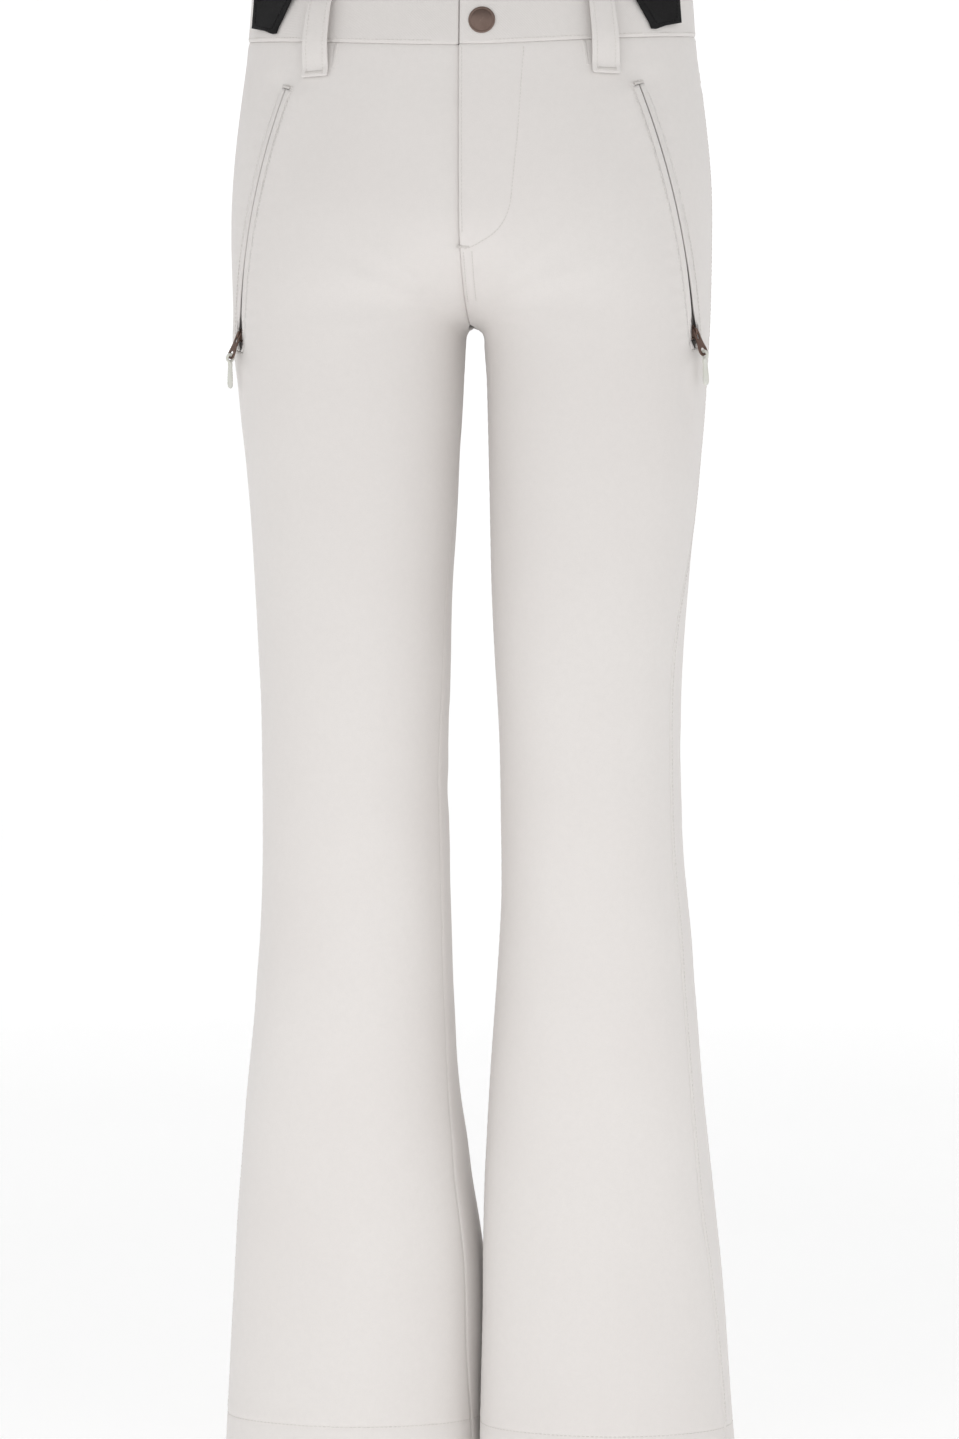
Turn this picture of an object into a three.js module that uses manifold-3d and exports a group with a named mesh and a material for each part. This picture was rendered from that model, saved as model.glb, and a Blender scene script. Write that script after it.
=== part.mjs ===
// Ladies' flared softshell ski pants, standing on their hems as if worn.
// Frame: millimetres, +Z up, the front of the garment faces -Y, the wearer's left side is +X.
// The origin lies on the floor under the middle of the garment.
// Every fabric piece is cut from one body surface: surf(side, panel, u, z), a section curve at each height,
// and lies between two offsets from it (positive outwards).
import * as THREE from "three";
import { mergeVertices } from "three/addons/utils/BufferGeometryUtils.js";
import Module from "manifold-3d";
const wasm = await Module();
wasm.setup();

// ---- driving dimensions (mm) ----
const CROTCH_Z = 815; // inside leg
const SHELL_T = 1.6; // bonded softshell
const SEAM_GAP = 0.2; // half the gap left between two panels at a seam
const HEM_DEPTH = 28;
const WAISTBAND_H = 38;
const WAIST_SEAM_Z = 1022.2; // waist seam at the side
const WAIST_TILT = 17.8; // the seam drops this much at the front and rises this much at the back
const FRONT_RISE_H = 75; // height over which the front crotch curve opens
const BACK_RISE_H = 105;
const LOOP_W = 18; // belt loops
const SNAP_R = 9.4; // snap cap radius
const STRAP_W = 38; // elastic braces
const SHIFT = [-2.967, -9.738, 0]; // puts the origin under the middle of the outer box

// outer and inner edge of each leg at each height, from the centre plane: z, left out, left in, right out, right in
const LEG = [
  [-10, 189.4, 5.0, 183.5, -5.7], [28, 186.7, 5.6, 182, -5.8], [57, 184.9, 6.2, 180.4, -5.9], [86, 182.8, 6.9, 178.8, -6],
  [115, 180.6, 7.5, 177, -5.8], [144, 178.5, 7.6, 175.2, -4.6], [172, 175.9, 8, 173.4, -1.4], [201, 173.1, 8.7, 170.9, 2.8],
  [230, 170.2, 10.2, 168.3, 6.1], [259, 167.4, 11.8, 165.7, 9.9], [288, 164.9, 13.7, 162.4, 12.2], [317, 162.4, 15.9, 159.1, 13.3],
  [346, 160, 18.1, 156.6, 14.5], [375, 158.2, 20.1, 154, 15], [404, 155.5, 21.7, 152.2, 15.5], [432, 153, 21.9, 151.2, 16],
  [461, 151.4, 21.6, 150.9, 16.5], [490, 150.7, 21.3, 151, 17.1], [519, 150.6, 20.7, 151.3, 16.6], [547, 151, 19.3, 151.9, 15.6],
  [576, 152.4, 17.5, 153.3, 14.9], [605, 154.5, 16, 154.7, 14.6], [634, 157, 14.9, 156.2, 13.6], [662, 159.5, 14.3, 157.8, 11.9],
  [691, 162.4, 13.7, 160, 10.2], [720, 164.9, 12.9, 162.8, 8.8], [749, 167.5, 12.1, 166.3, 6.8], [777, 169.3, 11.2, 169, 5.6],
  [806, 171, 9.3, 171, 4.8],
];
// half width over the hips: z, out
const HIP = [
  [777, 169.3], [806, 171], [835, 172], [864, 172.6], [893, 172.9], [922, 172], [951, 169.5], [979, 166.2], [1008, 162.3],
  [1030, 160], [1052, 158.4], [1090, 156.5],
];
// depth of the section in front of and behind its own centre line
const DEPTH = [
  [-10, 76, 77], [100, 74, 75], [200, 72, 73], [300, 70, 72], [400, 68, 71], [480, 68, 71], [560, 72, 75], [650, 79, 82],
  [750, 87, 92], [815, 95, 103], [850, 99.5, 113], [880, 102, 118], [910, 103.5, 119.5], [950, 103.8, 116.5], [980, 102.5, 111],
  [1010, 100.5, 105], [1035, 98, 100.5], [1060, 95.8, 97.5], [1090, 94, 95],
];
// y of the section's centre line: z, left, right
const CENTRE_Y = [
  [-10, 12, 40], [100, 12, 36], [200, 12, 28], [300, 8, 18], [400, 2, 8], [480, -2, 2], [560, -3, 0], [650, -2, 0],
  [750, 1, 1], [815, 4, 4], [900, 2, 2], [1000, 2, 2], [1090, 2, 2],
];
// how far round the leg each seam lies in front of the side, degrees: z, left outseam, left inseam, right outseam, right inseam
const SEAM_TURN = [
  [-10, 17, 5, 5, 20], [100, 20, 5, 5, 27], [200, 27, 5, 5, 26], [300, 26, 5, 5, 20], [470, 25, 5, 5, 20], [600, 22, 5, 4, 15],
  [680, 4, 3, 3, 8], [760, 2, 1.5, 2, 3], [815, 2, 0, 2, 0], [1100, 0, 0, 0, 0],
];

// ---- small helpers ----
const clamp = (v, a, b) => Math.min(b, Math.max(a, v));
const sub = (a, b) => [a[0] - b[0], a[1] - b[1], a[2] - b[2]];
const add = (a, b, k = 1) => [a[0] + b[0] * k, a[1] + b[1] * k, a[2] + b[2] * k];
const mul = (a, k) => [a[0] * k, a[1] * k, a[2] * k];
const dot = (a, b) => a[0] * b[0] + a[1] * b[1] + a[2] * b[2];
const cross = (a, b) => [a[1] * b[2] - a[2] * b[1], a[2] * b[0] - a[0] * b[2], a[0] * b[1] - a[1] * b[0]];
const len = (a) => Math.hypot(a[0], a[1], a[2]);
const norm = (a) => mul(a, 1 / (len(a) || 1));
const lerp3 = (a, b, t) => [a[0] + (b[0] - a[0]) * t, a[1] + (b[1] - a[1]) * t, a[2] + (b[2] - a[2]) * t];

// smooth curve through a table's rows: column k at x
function look(table, x, k) {
  const n = table.length;
  let i = 0;
  while (i < n - 2 && x > table[i + 1][0]) i++;
  const x0 = table[i][0], x1 = table[i + 1][0];
  const t = clamp((x - x0) / (x1 - x0), 0, 1);
  const slope = (j) => {
    if (j <= 0 || j >= n - 1) return 0;
    const dl = (table[j][k] - table[j - 1][k]) / (table[j][0] - table[j - 1][0]);
    const dr = (table[j + 1][k] - table[j][k]) / (table[j + 1][0] - table[j][0]);
    return dl * dr <= 0 ? 0 : (dl + dr) / 2;
  };
  const h = x1 - x0, p0 = table[i][k], p1 = table[i + 1][k], m0 = slope(i) * h, m1 = slope(i + 1) * h;
  const t2 = t * t, t3 = t2 * t;
  return (2 * t3 - 3 * t2 + 1) * p0 + (t3 - 2 * t2 + t) * m0 + (-2 * t3 + 3 * t2) * p1 + (t3 - t2) * m1;
}
const smooth = (t) => { t = clamp(t, 0, 1); return t * t * (3 - 2 * t); };
const spow = (v, p) => Math.sign(v) * Math.pow(Math.abs(v), p);

// ---- the body surface ----
const NU = 40; // samples along each panel's width
// One half's section at height z, as it runs from the centre front (or the inseam) round the outside to the back.
function section(side, z) {
  const L = side > 0;
  const F = look(DEPTH, z, 1), B = look(DEPTH, z, 2), cy = look(CENTRE_Y, z, L ? 1 : 2);
  const so = (look(SEAM_TURN, z, L ? 1 : 3) * Math.PI) / 180, si = (look(SEAM_TURN, z, L ? 2 : 4) * Math.PI) / 180;
  const e = 2 / 2.08;
  const front = [], back = [];
  const N = 160;
  if (z < CROTCH_Z) {
    const out = z > 777 ? look(HIP, z, 1) : look(LEG, z, L ? 1 : 3);
    const edge = look(LEG, Math.min(z, 806), L ? 2 : 4);
    let inn = edge;
    if (z > 806) { const d = (CROTCH_Z - z) / 9; inn *= Math.sqrt(1 - (1 - d) * (1 - d)); }
    const cx = (out + edge) / 2;
    const at = (w) => {
      const c = Math.cos(w);
      return [cx - (c > 0 ? cx - inn : out - cx) * spow(c, e), cy - (Math.sin(w) > 0 ? F : B) * spow(Math.sin(w), e)];
    };
    for (let i = 0; i <= N; i++) {
      front.push(at(si + ((Math.PI - so - si) * i) / N));
      back.push(at(Math.PI - so + ((Math.PI + so + si) * i) / N));
    }
  } else {
    const out = look(HIP, z, 1);
    const cx = ((look(HIP, CROTCH_Z, 1) + look(LEG, 806, L ? 2 : 4)) / 2) * (1 - 0.62 * smooth((z - CROTCH_Z) / 200));
    const a = out - cx;
    const qf = clamp(1 - (z - CROTCH_Z) / FRONT_RISE_H, 1e-5, 1), qb = clamp(1 - (z - CROTCH_Z) / BACK_RISE_H, 1e-5, 1);
    const inner = (q, D, sign, list, flip) => {
      const A = cx / q, w0 = Math.acos(Math.min(1, cx / A)), pts = [];
      for (let i = 0; i < 60; i++) {
        const w = w0 + ((Math.PI / 2 - w0) * i) / 60;
        pts.push([Math.max(0, cx - A * Math.cos(w)), cy + sign * D * Math.sin(w)]);
      }
      (flip ? pts.reverse() : pts).forEach((p) => list.push(p));
    };
    inner(qf, F, -1, front, false);
    const at = (w) => [cx - a * spow(Math.cos(w), e), cy - (Math.sin(w) > 0 ? F : B) * spow(Math.sin(w), e)];
    for (let i = 0; i <= 100; i++) front.push(at(Math.PI / 2 + ((Math.PI / 2 - so) * i) / 100));
    for (let i = 0; i <= 100; i++) back.push(at(Math.PI - so + ((Math.PI / 2 + so) * i) / 100));
    inner(qb, B, 1, back, true);
  }
  return [resample(front), resample(back)];
}
function resample(pts) {
  const s = [0];
  for (let i = 1; i < pts.length; i++) s.push(s[i - 1] + Math.hypot(pts[i][0] - pts[i - 1][0], pts[i][1] - pts[i - 1][1]));
  const out = [], total = s[s.length - 1];
  let k = 0;
  for (let i = 0; i <= NU; i++) {
    const t = (total * i) / NU;
    while (k < pts.length - 2 && s[k + 1] < t) k++;
    const f = s[k + 1] > s[k] ? (t - s[k]) / (s[k + 1] - s[k]) : 0;
    out.push([pts[k][0] + (pts[k + 1][0] - pts[k][0]) * f, pts[k][1] + (pts[k + 1][1] - pts[k][1]) * f]);
  }
  return out;
}
const LEVELS = [];
for (let z = -10; z < 800; z += 6) LEVELS.push(z);
LEVELS.push(800, 803, 806, 808, 810, 812, 813.5, 814.5, 815, 815.4, 816, 817, 818.5, 820, 822, 825, 828, 832, 836, 840);
for (let z = 845; z <= 1090; z += 5) LEVELS.push(z);
const TABLE = new Map([[1, LEVELS.map((z) => section(1, z))], [-1, LEVELS.map((z) => section(-1, z))]]);
// panel 0 is the front (u 0 at the centre front or inseam, 1 at the outseam), panel 1 the back (u 0 at the outseam, 1 at the centre back or inseam)
function surf(side, panel, u, z) {
  let i = 0, hi = LEVELS.length - 2;
  while (i < hi) { const m = (i + hi + 1) >> 1; if (LEVELS[m] <= z) i = m; else hi = m - 1; }
  const t = (z - LEVELS[i]) / (LEVELS[i + 1] - LEVELS[i]), x = clamp(u, 0, 1) * NU, j = Math.min(NU - 1, Math.floor(x)), f = x - j;
  const T = TABLE.get(side), a = T[i][panel], b = T[i + 1][panel];
  const px = (a[j][0] * (1 - f) + a[j + 1][0] * f) * (1 - t) + (b[j][0] * (1 - f) + b[j + 1][0] * f) * t;
  const py = (a[j][1] * (1 - f) + a[j + 1][1] * f) * (1 - t) + (b[j][1] * (1 - f) + b[j + 1][1] * f) * t;
  return [side * px, py, z];
}
// frame on the surface away from the crotch: point, outward normal
function frameAt(side, panel, u, z) {
  const du = 0.02, dz = 4;
  const a = surf(side, panel, Math.max(0, u - du), z), b = surf(side, panel, Math.min(1, u + du), z);
  const c = surf(side, panel, u, z - dz), d = surf(side, panel, u, z + dz);
  let n = norm(cross(sub(b, a), sub(d, c)));
  if (side < 0) n = mul(n, -1);
  return { p: surf(side, panel, u, z), n };
}
// u on the front panel where the surface reaches |x| at height z
function uOfX(side, z, x) {
  let lo = 0, hi = 1;
  for (let i = 0; i < 40; i++) { const m = (lo + hi) / 2; if (Math.abs(surf(side, 0, m, z)[0]) < x) lo = m; else hi = m; }
  return (lo + hi) / 2;
}
const seamZ = (phi) => WAIST_SEAM_Z - WAIST_TILT * Math.cos(phi); // phi 0 at the centre front, pi at the centre back

// ---- solids ----
function geometry(verts, tris) {
  const g = new THREE.BufferGeometry();
  g.setAttribute("position", new THREE.BufferAttribute(new Float32Array(verts.flat()), 3));
  g.setIndex(tris);
  const merged = mergeVertices(g, 1e-3);
  const p = merged.attributes.position.array, ix = Array.from(merged.index.array);
  const keep = [];
  for (let i = 0; i < ix.length; i += 3) if (ix[i] !== ix[i + 1] && ix[i + 1] !== ix[i + 2] && ix[i] !== ix[i + 2]) keep.push(ix[i], ix[i + 1], ix[i + 2]);
  let vol = 0;
  for (let i = 0; i < keep.length; i += 3) {
    const [a, b, c] = [keep[i] * 3, keep[i + 1] * 3, keep[i + 2] * 3];
    vol += dot([p[a], p[a + 1], p[a + 2]], cross([p[b], p[b + 1], p[b + 2]], [p[c], p[c + 1], p[c + 2]]));
  }
  if (vol < 0) for (let i = 0; i < keep.length; i += 3) [keep[i + 1], keep[i + 2]] = [keep[i + 2], keep[i + 1]];
  merged.setIndex(keep);
  return merged;
}
// closed sheet between two grids of points
function slab(outer, inner, ring = false) {
  const R = outer.length, C = outer[0].length, v = [], t = [];
  for (const g of [outer, inner]) for (const row of g) for (const p of row) v.push(p);
  const o = (i, j) => i * C + (j % C), n = (i, j) => R * C + i * C + (j % C);
  const quad = (a, b, c, d) => t.push(a, b, c, a, c, d);
  const cols = ring ? C : C - 1;
  for (let i = 0; i < R - 1; i++) for (let j = 0; j < cols; j++) {
    quad(o(i, j), o(i, j + 1), o(i + 1, j + 1), o(i + 1, j));
    quad(n(i, j), n(i + 1, j), n(i + 1, j + 1), n(i, j + 1));
  }
  for (let j = 0; j < cols; j++) {
    quad(o(0, j), n(0, j), n(0, j + 1), o(0, j + 1));
    quad(o(R - 1, j), o(R - 1, j + 1), n(R - 1, j + 1), n(R - 1, j));
  }
  if (!ring) for (let i = 0; i < R - 1; i++) {
    quad(o(i, 0), o(i + 1, 0), n(i + 1, 0), n(i, 0));
    quad(o(i, C - 1), n(i, C - 1), n(i + 1, C - 1), o(i + 1, C - 1));
  }
  return geometry(v, t);
}
// a strip along frames {p, n, b}: between b offsets b0..b1 and n offsets n0..n1, each a number or a function of the frame's index
function ribbon(frames, b0, b1, n0, n1) {
  const val = (f, i) => (typeof f === "function" ? f(i) : f);
  const at = (fr, i, b, n) => add(add(fr.p, fr.b, val(b, i)), fr.n, val(n, i));
  const outer = [frames.map((f, i) => at(f, i, b0, n1)), frames.map((f, i) => at(f, i, b1, n1))];
  const inner = [frames.map((f, i) => at(f, i, b0, n0)), frames.map((f, i) => at(f, i, b1, n0))];
  return slab(outer, inner);
}
const toSolid = (g) => {
  const m = mergeVertices(new THREE.BufferGeometry().setAttribute("position", g.index ? g.toNonIndexed().getAttribute("position") : g.getAttribute("position")), 1e-4);
  return new wasm.Manifold(new wasm.Mesh({ numProp: 3, vertProperties: m.attributes.position.array, triVerts: new Uint32Array(m.index.array) }));
};
const fromSolid = (s) => {
  const m = s.getMesh(), g = new THREE.BufferGeometry();
  g.setAttribute("position", new THREE.BufferAttribute(new Float32Array(m.vertProperties), 3));
  g.setIndex(Array.from(m.triVerts));
  return g;
};
const join = (...gs) => fromSolid(gs.map(toSolid).reduce((a, b) => a.add(b)));
const cut = (g, ...tools) => fromSolid(tools.map(toSolid).reduce((a, b) => a.subtract(b), toSolid(g)));
// geometry whose X, Y, Z become b, t, n at p
function place(g, p, b, t, n) {
  const m = new THREE.Matrix4().makeBasis(new THREE.Vector3(...b), new THREE.Vector3(...t), new THREE.Vector3(...n));
  m.setPosition(...p);
  return g.clone().applyMatrix4(m);
}
const box = (x0, x1, y0, y1, z0, z1) => new THREE.BoxGeometry(x1 - x0, y1 - y0, z1 - z0).translate((x0 + x1) / 2, (y0 + y1) / 2, (z0 + z1) / 2);
// turned shape about Z from [r, z] pairs that start and end on the axis
const turned = (pairs, seg = 20) => new THREE.LatheGeometry(pairs.map(([r, z]) => new THREE.Vector2(r, z)), seg).rotateX(Math.PI / 2);

const root = new THREE.Group();
const MATERIALS = {
  softshell: new THREE.MeshStandardMaterial({ color: 0xdcd8d4, roughness: 0.85, metalness: 0 }),
  lining: new THREE.MeshStandardMaterial({ color: 0xd2cfca, roughness: 0.9, metalness: 0 }),
  tape: new THREE.MeshStandardMaterial({ color: 0xd6d2cb, roughness: 0.85, metalness: 0 }),
  cord: new THREE.MeshStandardMaterial({ color: 0xe3e1d3, roughness: 0.7, metalness: 0 }),
  bronze: new THREE.MeshStandardMaterial({ color: 0x6a544b, roughness: 0.35, metalness: 0.9 }),
  steel: new THREE.MeshStandardMaterial({ color: 0x9a968f, roughness: 0.35, metalness: 0.9 }),
  webbing: new THREE.MeshStandardMaterial({ color: 0x202020, roughness: 0.8, metalness: 0 }),
  label: new THREE.MeshStandardMaterial({ color: 0xe9e7e2, roughness: 0.7, metalness: 0 }),
};
function part(name, geom, material, parent = root) {
  geom.deleteAttribute("normal");
  geom.deleteAttribute("uv");
  geom = mergeVertices(geom, 1e-4);
  const ix = geom.index.array, keep = [];
  for (let i = 0; i < ix.length; i += 3) if (ix[i] !== ix[i + 1] && ix[i + 1] !== ix[i + 2] && ix[i] !== ix[i + 2]) keep.push(ix[i], ix[i + 1], ix[i + 2]);
  geom.setIndex(keep);
  const mesh = new THREE.Mesh(geom, MATERIALS[material]);
  mesh.name = name;
  parent.add(mesh);
  return mesh;
}

// ---- the facet grid that the panels share ----
const NF = 10, NB = 11;
const Z_LEG = [0, 28, 70, 120, 175, 230, 290, 350, 410, 470, 530, 590, 650, 705, 755, 790, 806, 812, 815];
const Z_CROTCH = [817, 822, 832, 846, 864];
const FAN = [0.2, 0.4, 0.6, 0.8, 1];
const BAND = [0.5, 1];
const ROWS = [...Z_LEG, ...Z_CROTCH, ...FAN.map((f) => ["fan", f]), ...BAND.map((f) => ["band", f])];
const SEAM_ROW = Z_LEG.length + Z_CROTCH.length + FAN.length - 1;
const YOKE_ROW = SEAM_ROW - 1;
const rowZ = (row, phi) => {
  if (!Array.isArray(row)) return row;
  const s = seamZ(phi);
  return row[0] === "fan" ? 864 + (s - 864) * row[1] : s + WAISTBAND_H * row[1];
};
const grid = {};
for (const side of [1, -1]) for (const panel of [0, 1]) {
  const n = panel ? NB : NF;
  grid[`${side},${panel}`] = ROWS.map((row) => {
    const line = [];
    for (let j = 0; j <= n; j++) {
      const u = j / n, phi = (Math.PI / 2) * (panel + u);
      line.push(surf(side, panel, u, rowZ(row, phi)));
    }
    return line;
  });
}
// the yoke seam slopes from the side down to the centre back
for (const side of [1, -1]) {
  const g = grid[`${side},1`];
  for (let j = 0; j <= NB; j++) {
    const u = j / NB, phi = (Math.PI / 2) * (1 + u);
    g[YOKE_ROW][j] = surf(side, 1, u, seamZ(phi) - 34 - 26 * u);
  }
}
// vertex normals over the whole garment, so that neighbouring panels share their edges' normals
const key = (p) => `${Math.round((Math.abs(p[0]) < 0.3 ? 0 : p[0]) * 20)},${Math.round(p[1] * 20)},${Math.round(p[2] * 20)}`;
const sums = new Map();
for (const side of [1, -1]) for (const panel of [0, 1]) {
  const g = grid[`${side},${panel}`];
  for (let i = 0; i < g.length - 1; i++) for (let j = 0; j < g[0].length - 1; j++) {
    const q = [g[i][j], g[i][j + 1], g[i + 1][j + 1], g[i + 1][j]];
    for (const [a, b, c] of [[0, 1, 2], [0, 2, 3]]) {
      let f = cross(sub(q[b], q[a]), sub(q[c], q[a]));
      if (side < 0) f = mul(f, -1);
      for (const k of [a, b, c]) sums.set(key(q[k]), add(sums.get(key(q[k])) || [0, 0, 0], f));
    }
  }
}
const normals = {};
for (const side of [1, -1]) for (const panel of [0, 1]) normals[`${side},${panel}`] = grid[`${side},${panel}`].map((line, i) => line.map((p) => {
  let n = norm(sums.get(key(p)));
  if (Math.abs(p[0]) < 0.3 && p[2] > 812) n = norm([0, n[1], n[2]]);
  if (i === 0) n = norm([n[0], n[1], 0]);
  return n;
}));
// the part of the shared grid from row r0 to r1 and column c0 to c1, at offset d (a number, or a function of the column), pulled in by SEAM_GAP at its edges
function patch(side, panel, r0, r1, c0, c1, d, pull = {}) {
  const g = grid[`${side},${panel}`], n = normals[`${side},${panel}`];
  const at = (i, j) => add(g[i][j], n[i][j], typeof d === "function" ? d(j) : d);
  const rows = [];
  for (let i = r0; i <= r1; i++) {
    const line = [];
    for (let j = c0; j <= c1; j++) line.push(at(i, j));
    rows.push(line);
  }
  const inset = (a, b, gap) => lerp3(a, b, Math.min(0.9, gap / (len(sub(a, b)) || 1)));
  const R = rows.length - 1, C = rows[0].length - 1;
  for (const line of rows) {
    const first = inset(line[0], line[1], pull.start ?? SEAM_GAP), last = inset(line[C], line[C - 1], pull.end ?? SEAM_GAP);
    line[0] = first; line[C] = last;
  }
  if (pull.bottom ?? r0 > 0) rows[0] = rows[0].map((p, j) => inset(p, rows[1][j], pull.bottom === undefined ? SEAM_GAP : pull.bottom));
  if (pull.top !== 0) rows[R] = rows[R].map((p, j) => inset(p, rows[R - 1][j], pull.top ?? SEAM_GAP));
  return rows.map((line) => line.map((p) => [p[2] > CROTCH_Z - 1.5 ? side * Math.max(SEAM_GAP, side * p[0]) : p[0], p[1], p[2]]));
}
const sheet = (side, panel, r0, r1, c0, c1, dOut, dIn, pull) => slab(patch(side, panel, r0, r1, c0, c1, dOut, pull), patch(side, panel, r0, r1, c0, c1, dIn, pull));

const NAME = { 1: "left", "-1": "right" };
const report = {};

// ---- hand pocket zips: each runs along one circular arc over the hip ----
const POCKET_TOP = [126, 975], POCKET_END = [162.3, 799];
function arcThrough(A, B, M) {
  const e1 = norm(sub(B, A)), mid = mul(add(A, B), 0.5), h = sub(M, mid);
  const nrm = norm(sub(h, mul(e1, dot(h, e1))));
  const c = len(sub(B, A)) / 2, s = dot(h, nrm), R = (c * c + s * s) / (2 * s);
  const C = add(mid, nrm, s - R), axis = norm(cross(e1, nrm)), half = Math.asin(c / R);
  // frame at angle w from the middle: t runs up the zip, n outwards, b = t x n
  const frame = (w, lift = 0) => {
    const n = add(mul(nrm, Math.cos(w)), e1, Math.sin(w)), t = add(mul(e1, Math.cos(w)), nrm, -Math.sin(w));
    return { p: add(C, n, R + lift), n, t, b: cross(t, n) };
  };
  const run = (w0, w1, k, lift = 0) => Array.from({ length: k + 1 }, (_, i) => frame(w0 + ((w1 - w0) * i) / k, lift));
  return { C, R, axis, half, frame, run };
}
function pocketArc(side) {
  const onFront = ([x, z]) => surf(side, 0, uOfX(side, z, x), z);
  const A = onFront(POCKET_END), B = onFront(POCKET_TOP);
  const zm = (A[2] + B[2]) / 2;
  // the plane through both ends that holds the surface normal midway
  let M = onFront([(Math.abs(A[0]) + Math.abs(B[0])) / 2, zm]);
  for (let k = 0; k < 12; k++) {
    const f = frameAt(side, 0, uOfX(side, M[2], Math.abs(M[0])), M[2]);
    const e = norm(cross(norm(sub(B, A)), f.n));
    const off = dot(sub(M, A), e);
    M = onFront([Math.abs(M[0] - off * e[0]), zm]);
  }
  return arcThrough(A, B, M);
}

// slider that straddles the coil, with a bridge for the pull tab. x across, y up the zip, z outwards from the coil's middle
function sliderBody(bar) {
  const plate = [[-3.9, -4.6], [3.9, -4.6], [4.4, 0], [3.4, 4.8], [-3.4, 4.8], [-4.4, 0]];
  const shape = new THREE.Shape(plate.map(([x, y]) => new THREE.Vector2(x, y)));
  const body = new THREE.ExtrudeGeometry(shape, { depth: 1, bevelEnabled: false }).translate(0, 0, 1.25);
  const l = box(-3.9, -2.5, -4.4, 4.2, 0.35, 1.6), r = box(2.5, 3.9, -4.4, 4.2, 0.35, 1.6);
  const b1 = box(-0.8, 0.8, 2.6, 3.6, 2.1, bar + 0.4), b2 = box(-0.8, 0.8, -3.8, -2.8, 2.1, bar + 0.4), b3 = box(-0.8, 0.8, -3.8, 3.6, bar, bar + 0.9);
  return join(body, l, r, b1, b2, b3);
}
// pull tab: a flat plate with a slot round the bridge and an eye for the cord, hanging towards -y. The hinge is at the origin
const TAB_L = 17;
function pullTab() {
  const L = TAB_L + 1.9;
  const outline = [[2.6, 0.5], [-2.6, 0.5], [-2.9, -L + 7], [-4.1, -L + 3.4], [-2.8, -L], [2.8, -L], [4.1, -L + 3.4], [2.9, -L + 7]];
  const plate = new THREE.ExtrudeGeometry(new THREE.Shape(outline.map(([x, y]) => new THREE.Vector2(x, y))), { depth: 0.7, bevelEnabled: false }).translate(0, 0, -0.35);
  const eye = new THREE.CylinderGeometry(2.2, 2.2, 2, 12).rotateX(Math.PI / 2).translate(0, -L + 3.7, 0);
  return cut(plate, box(-1.35, 1.35, -6.5, -0.5, -1, 1), eye);
}
// cord pull: a ring through the tab's eye and the moulded end below it, centred on the ring
function cordPull() {
  const ring = new THREE.TorusGeometry(2.6, 0.7, 6, 12).rotateY(Math.PI / 2);
  return join(ring, box(-1.7, 1.7, -22.5, -2.2, -1.1, 1.1));
}

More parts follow.
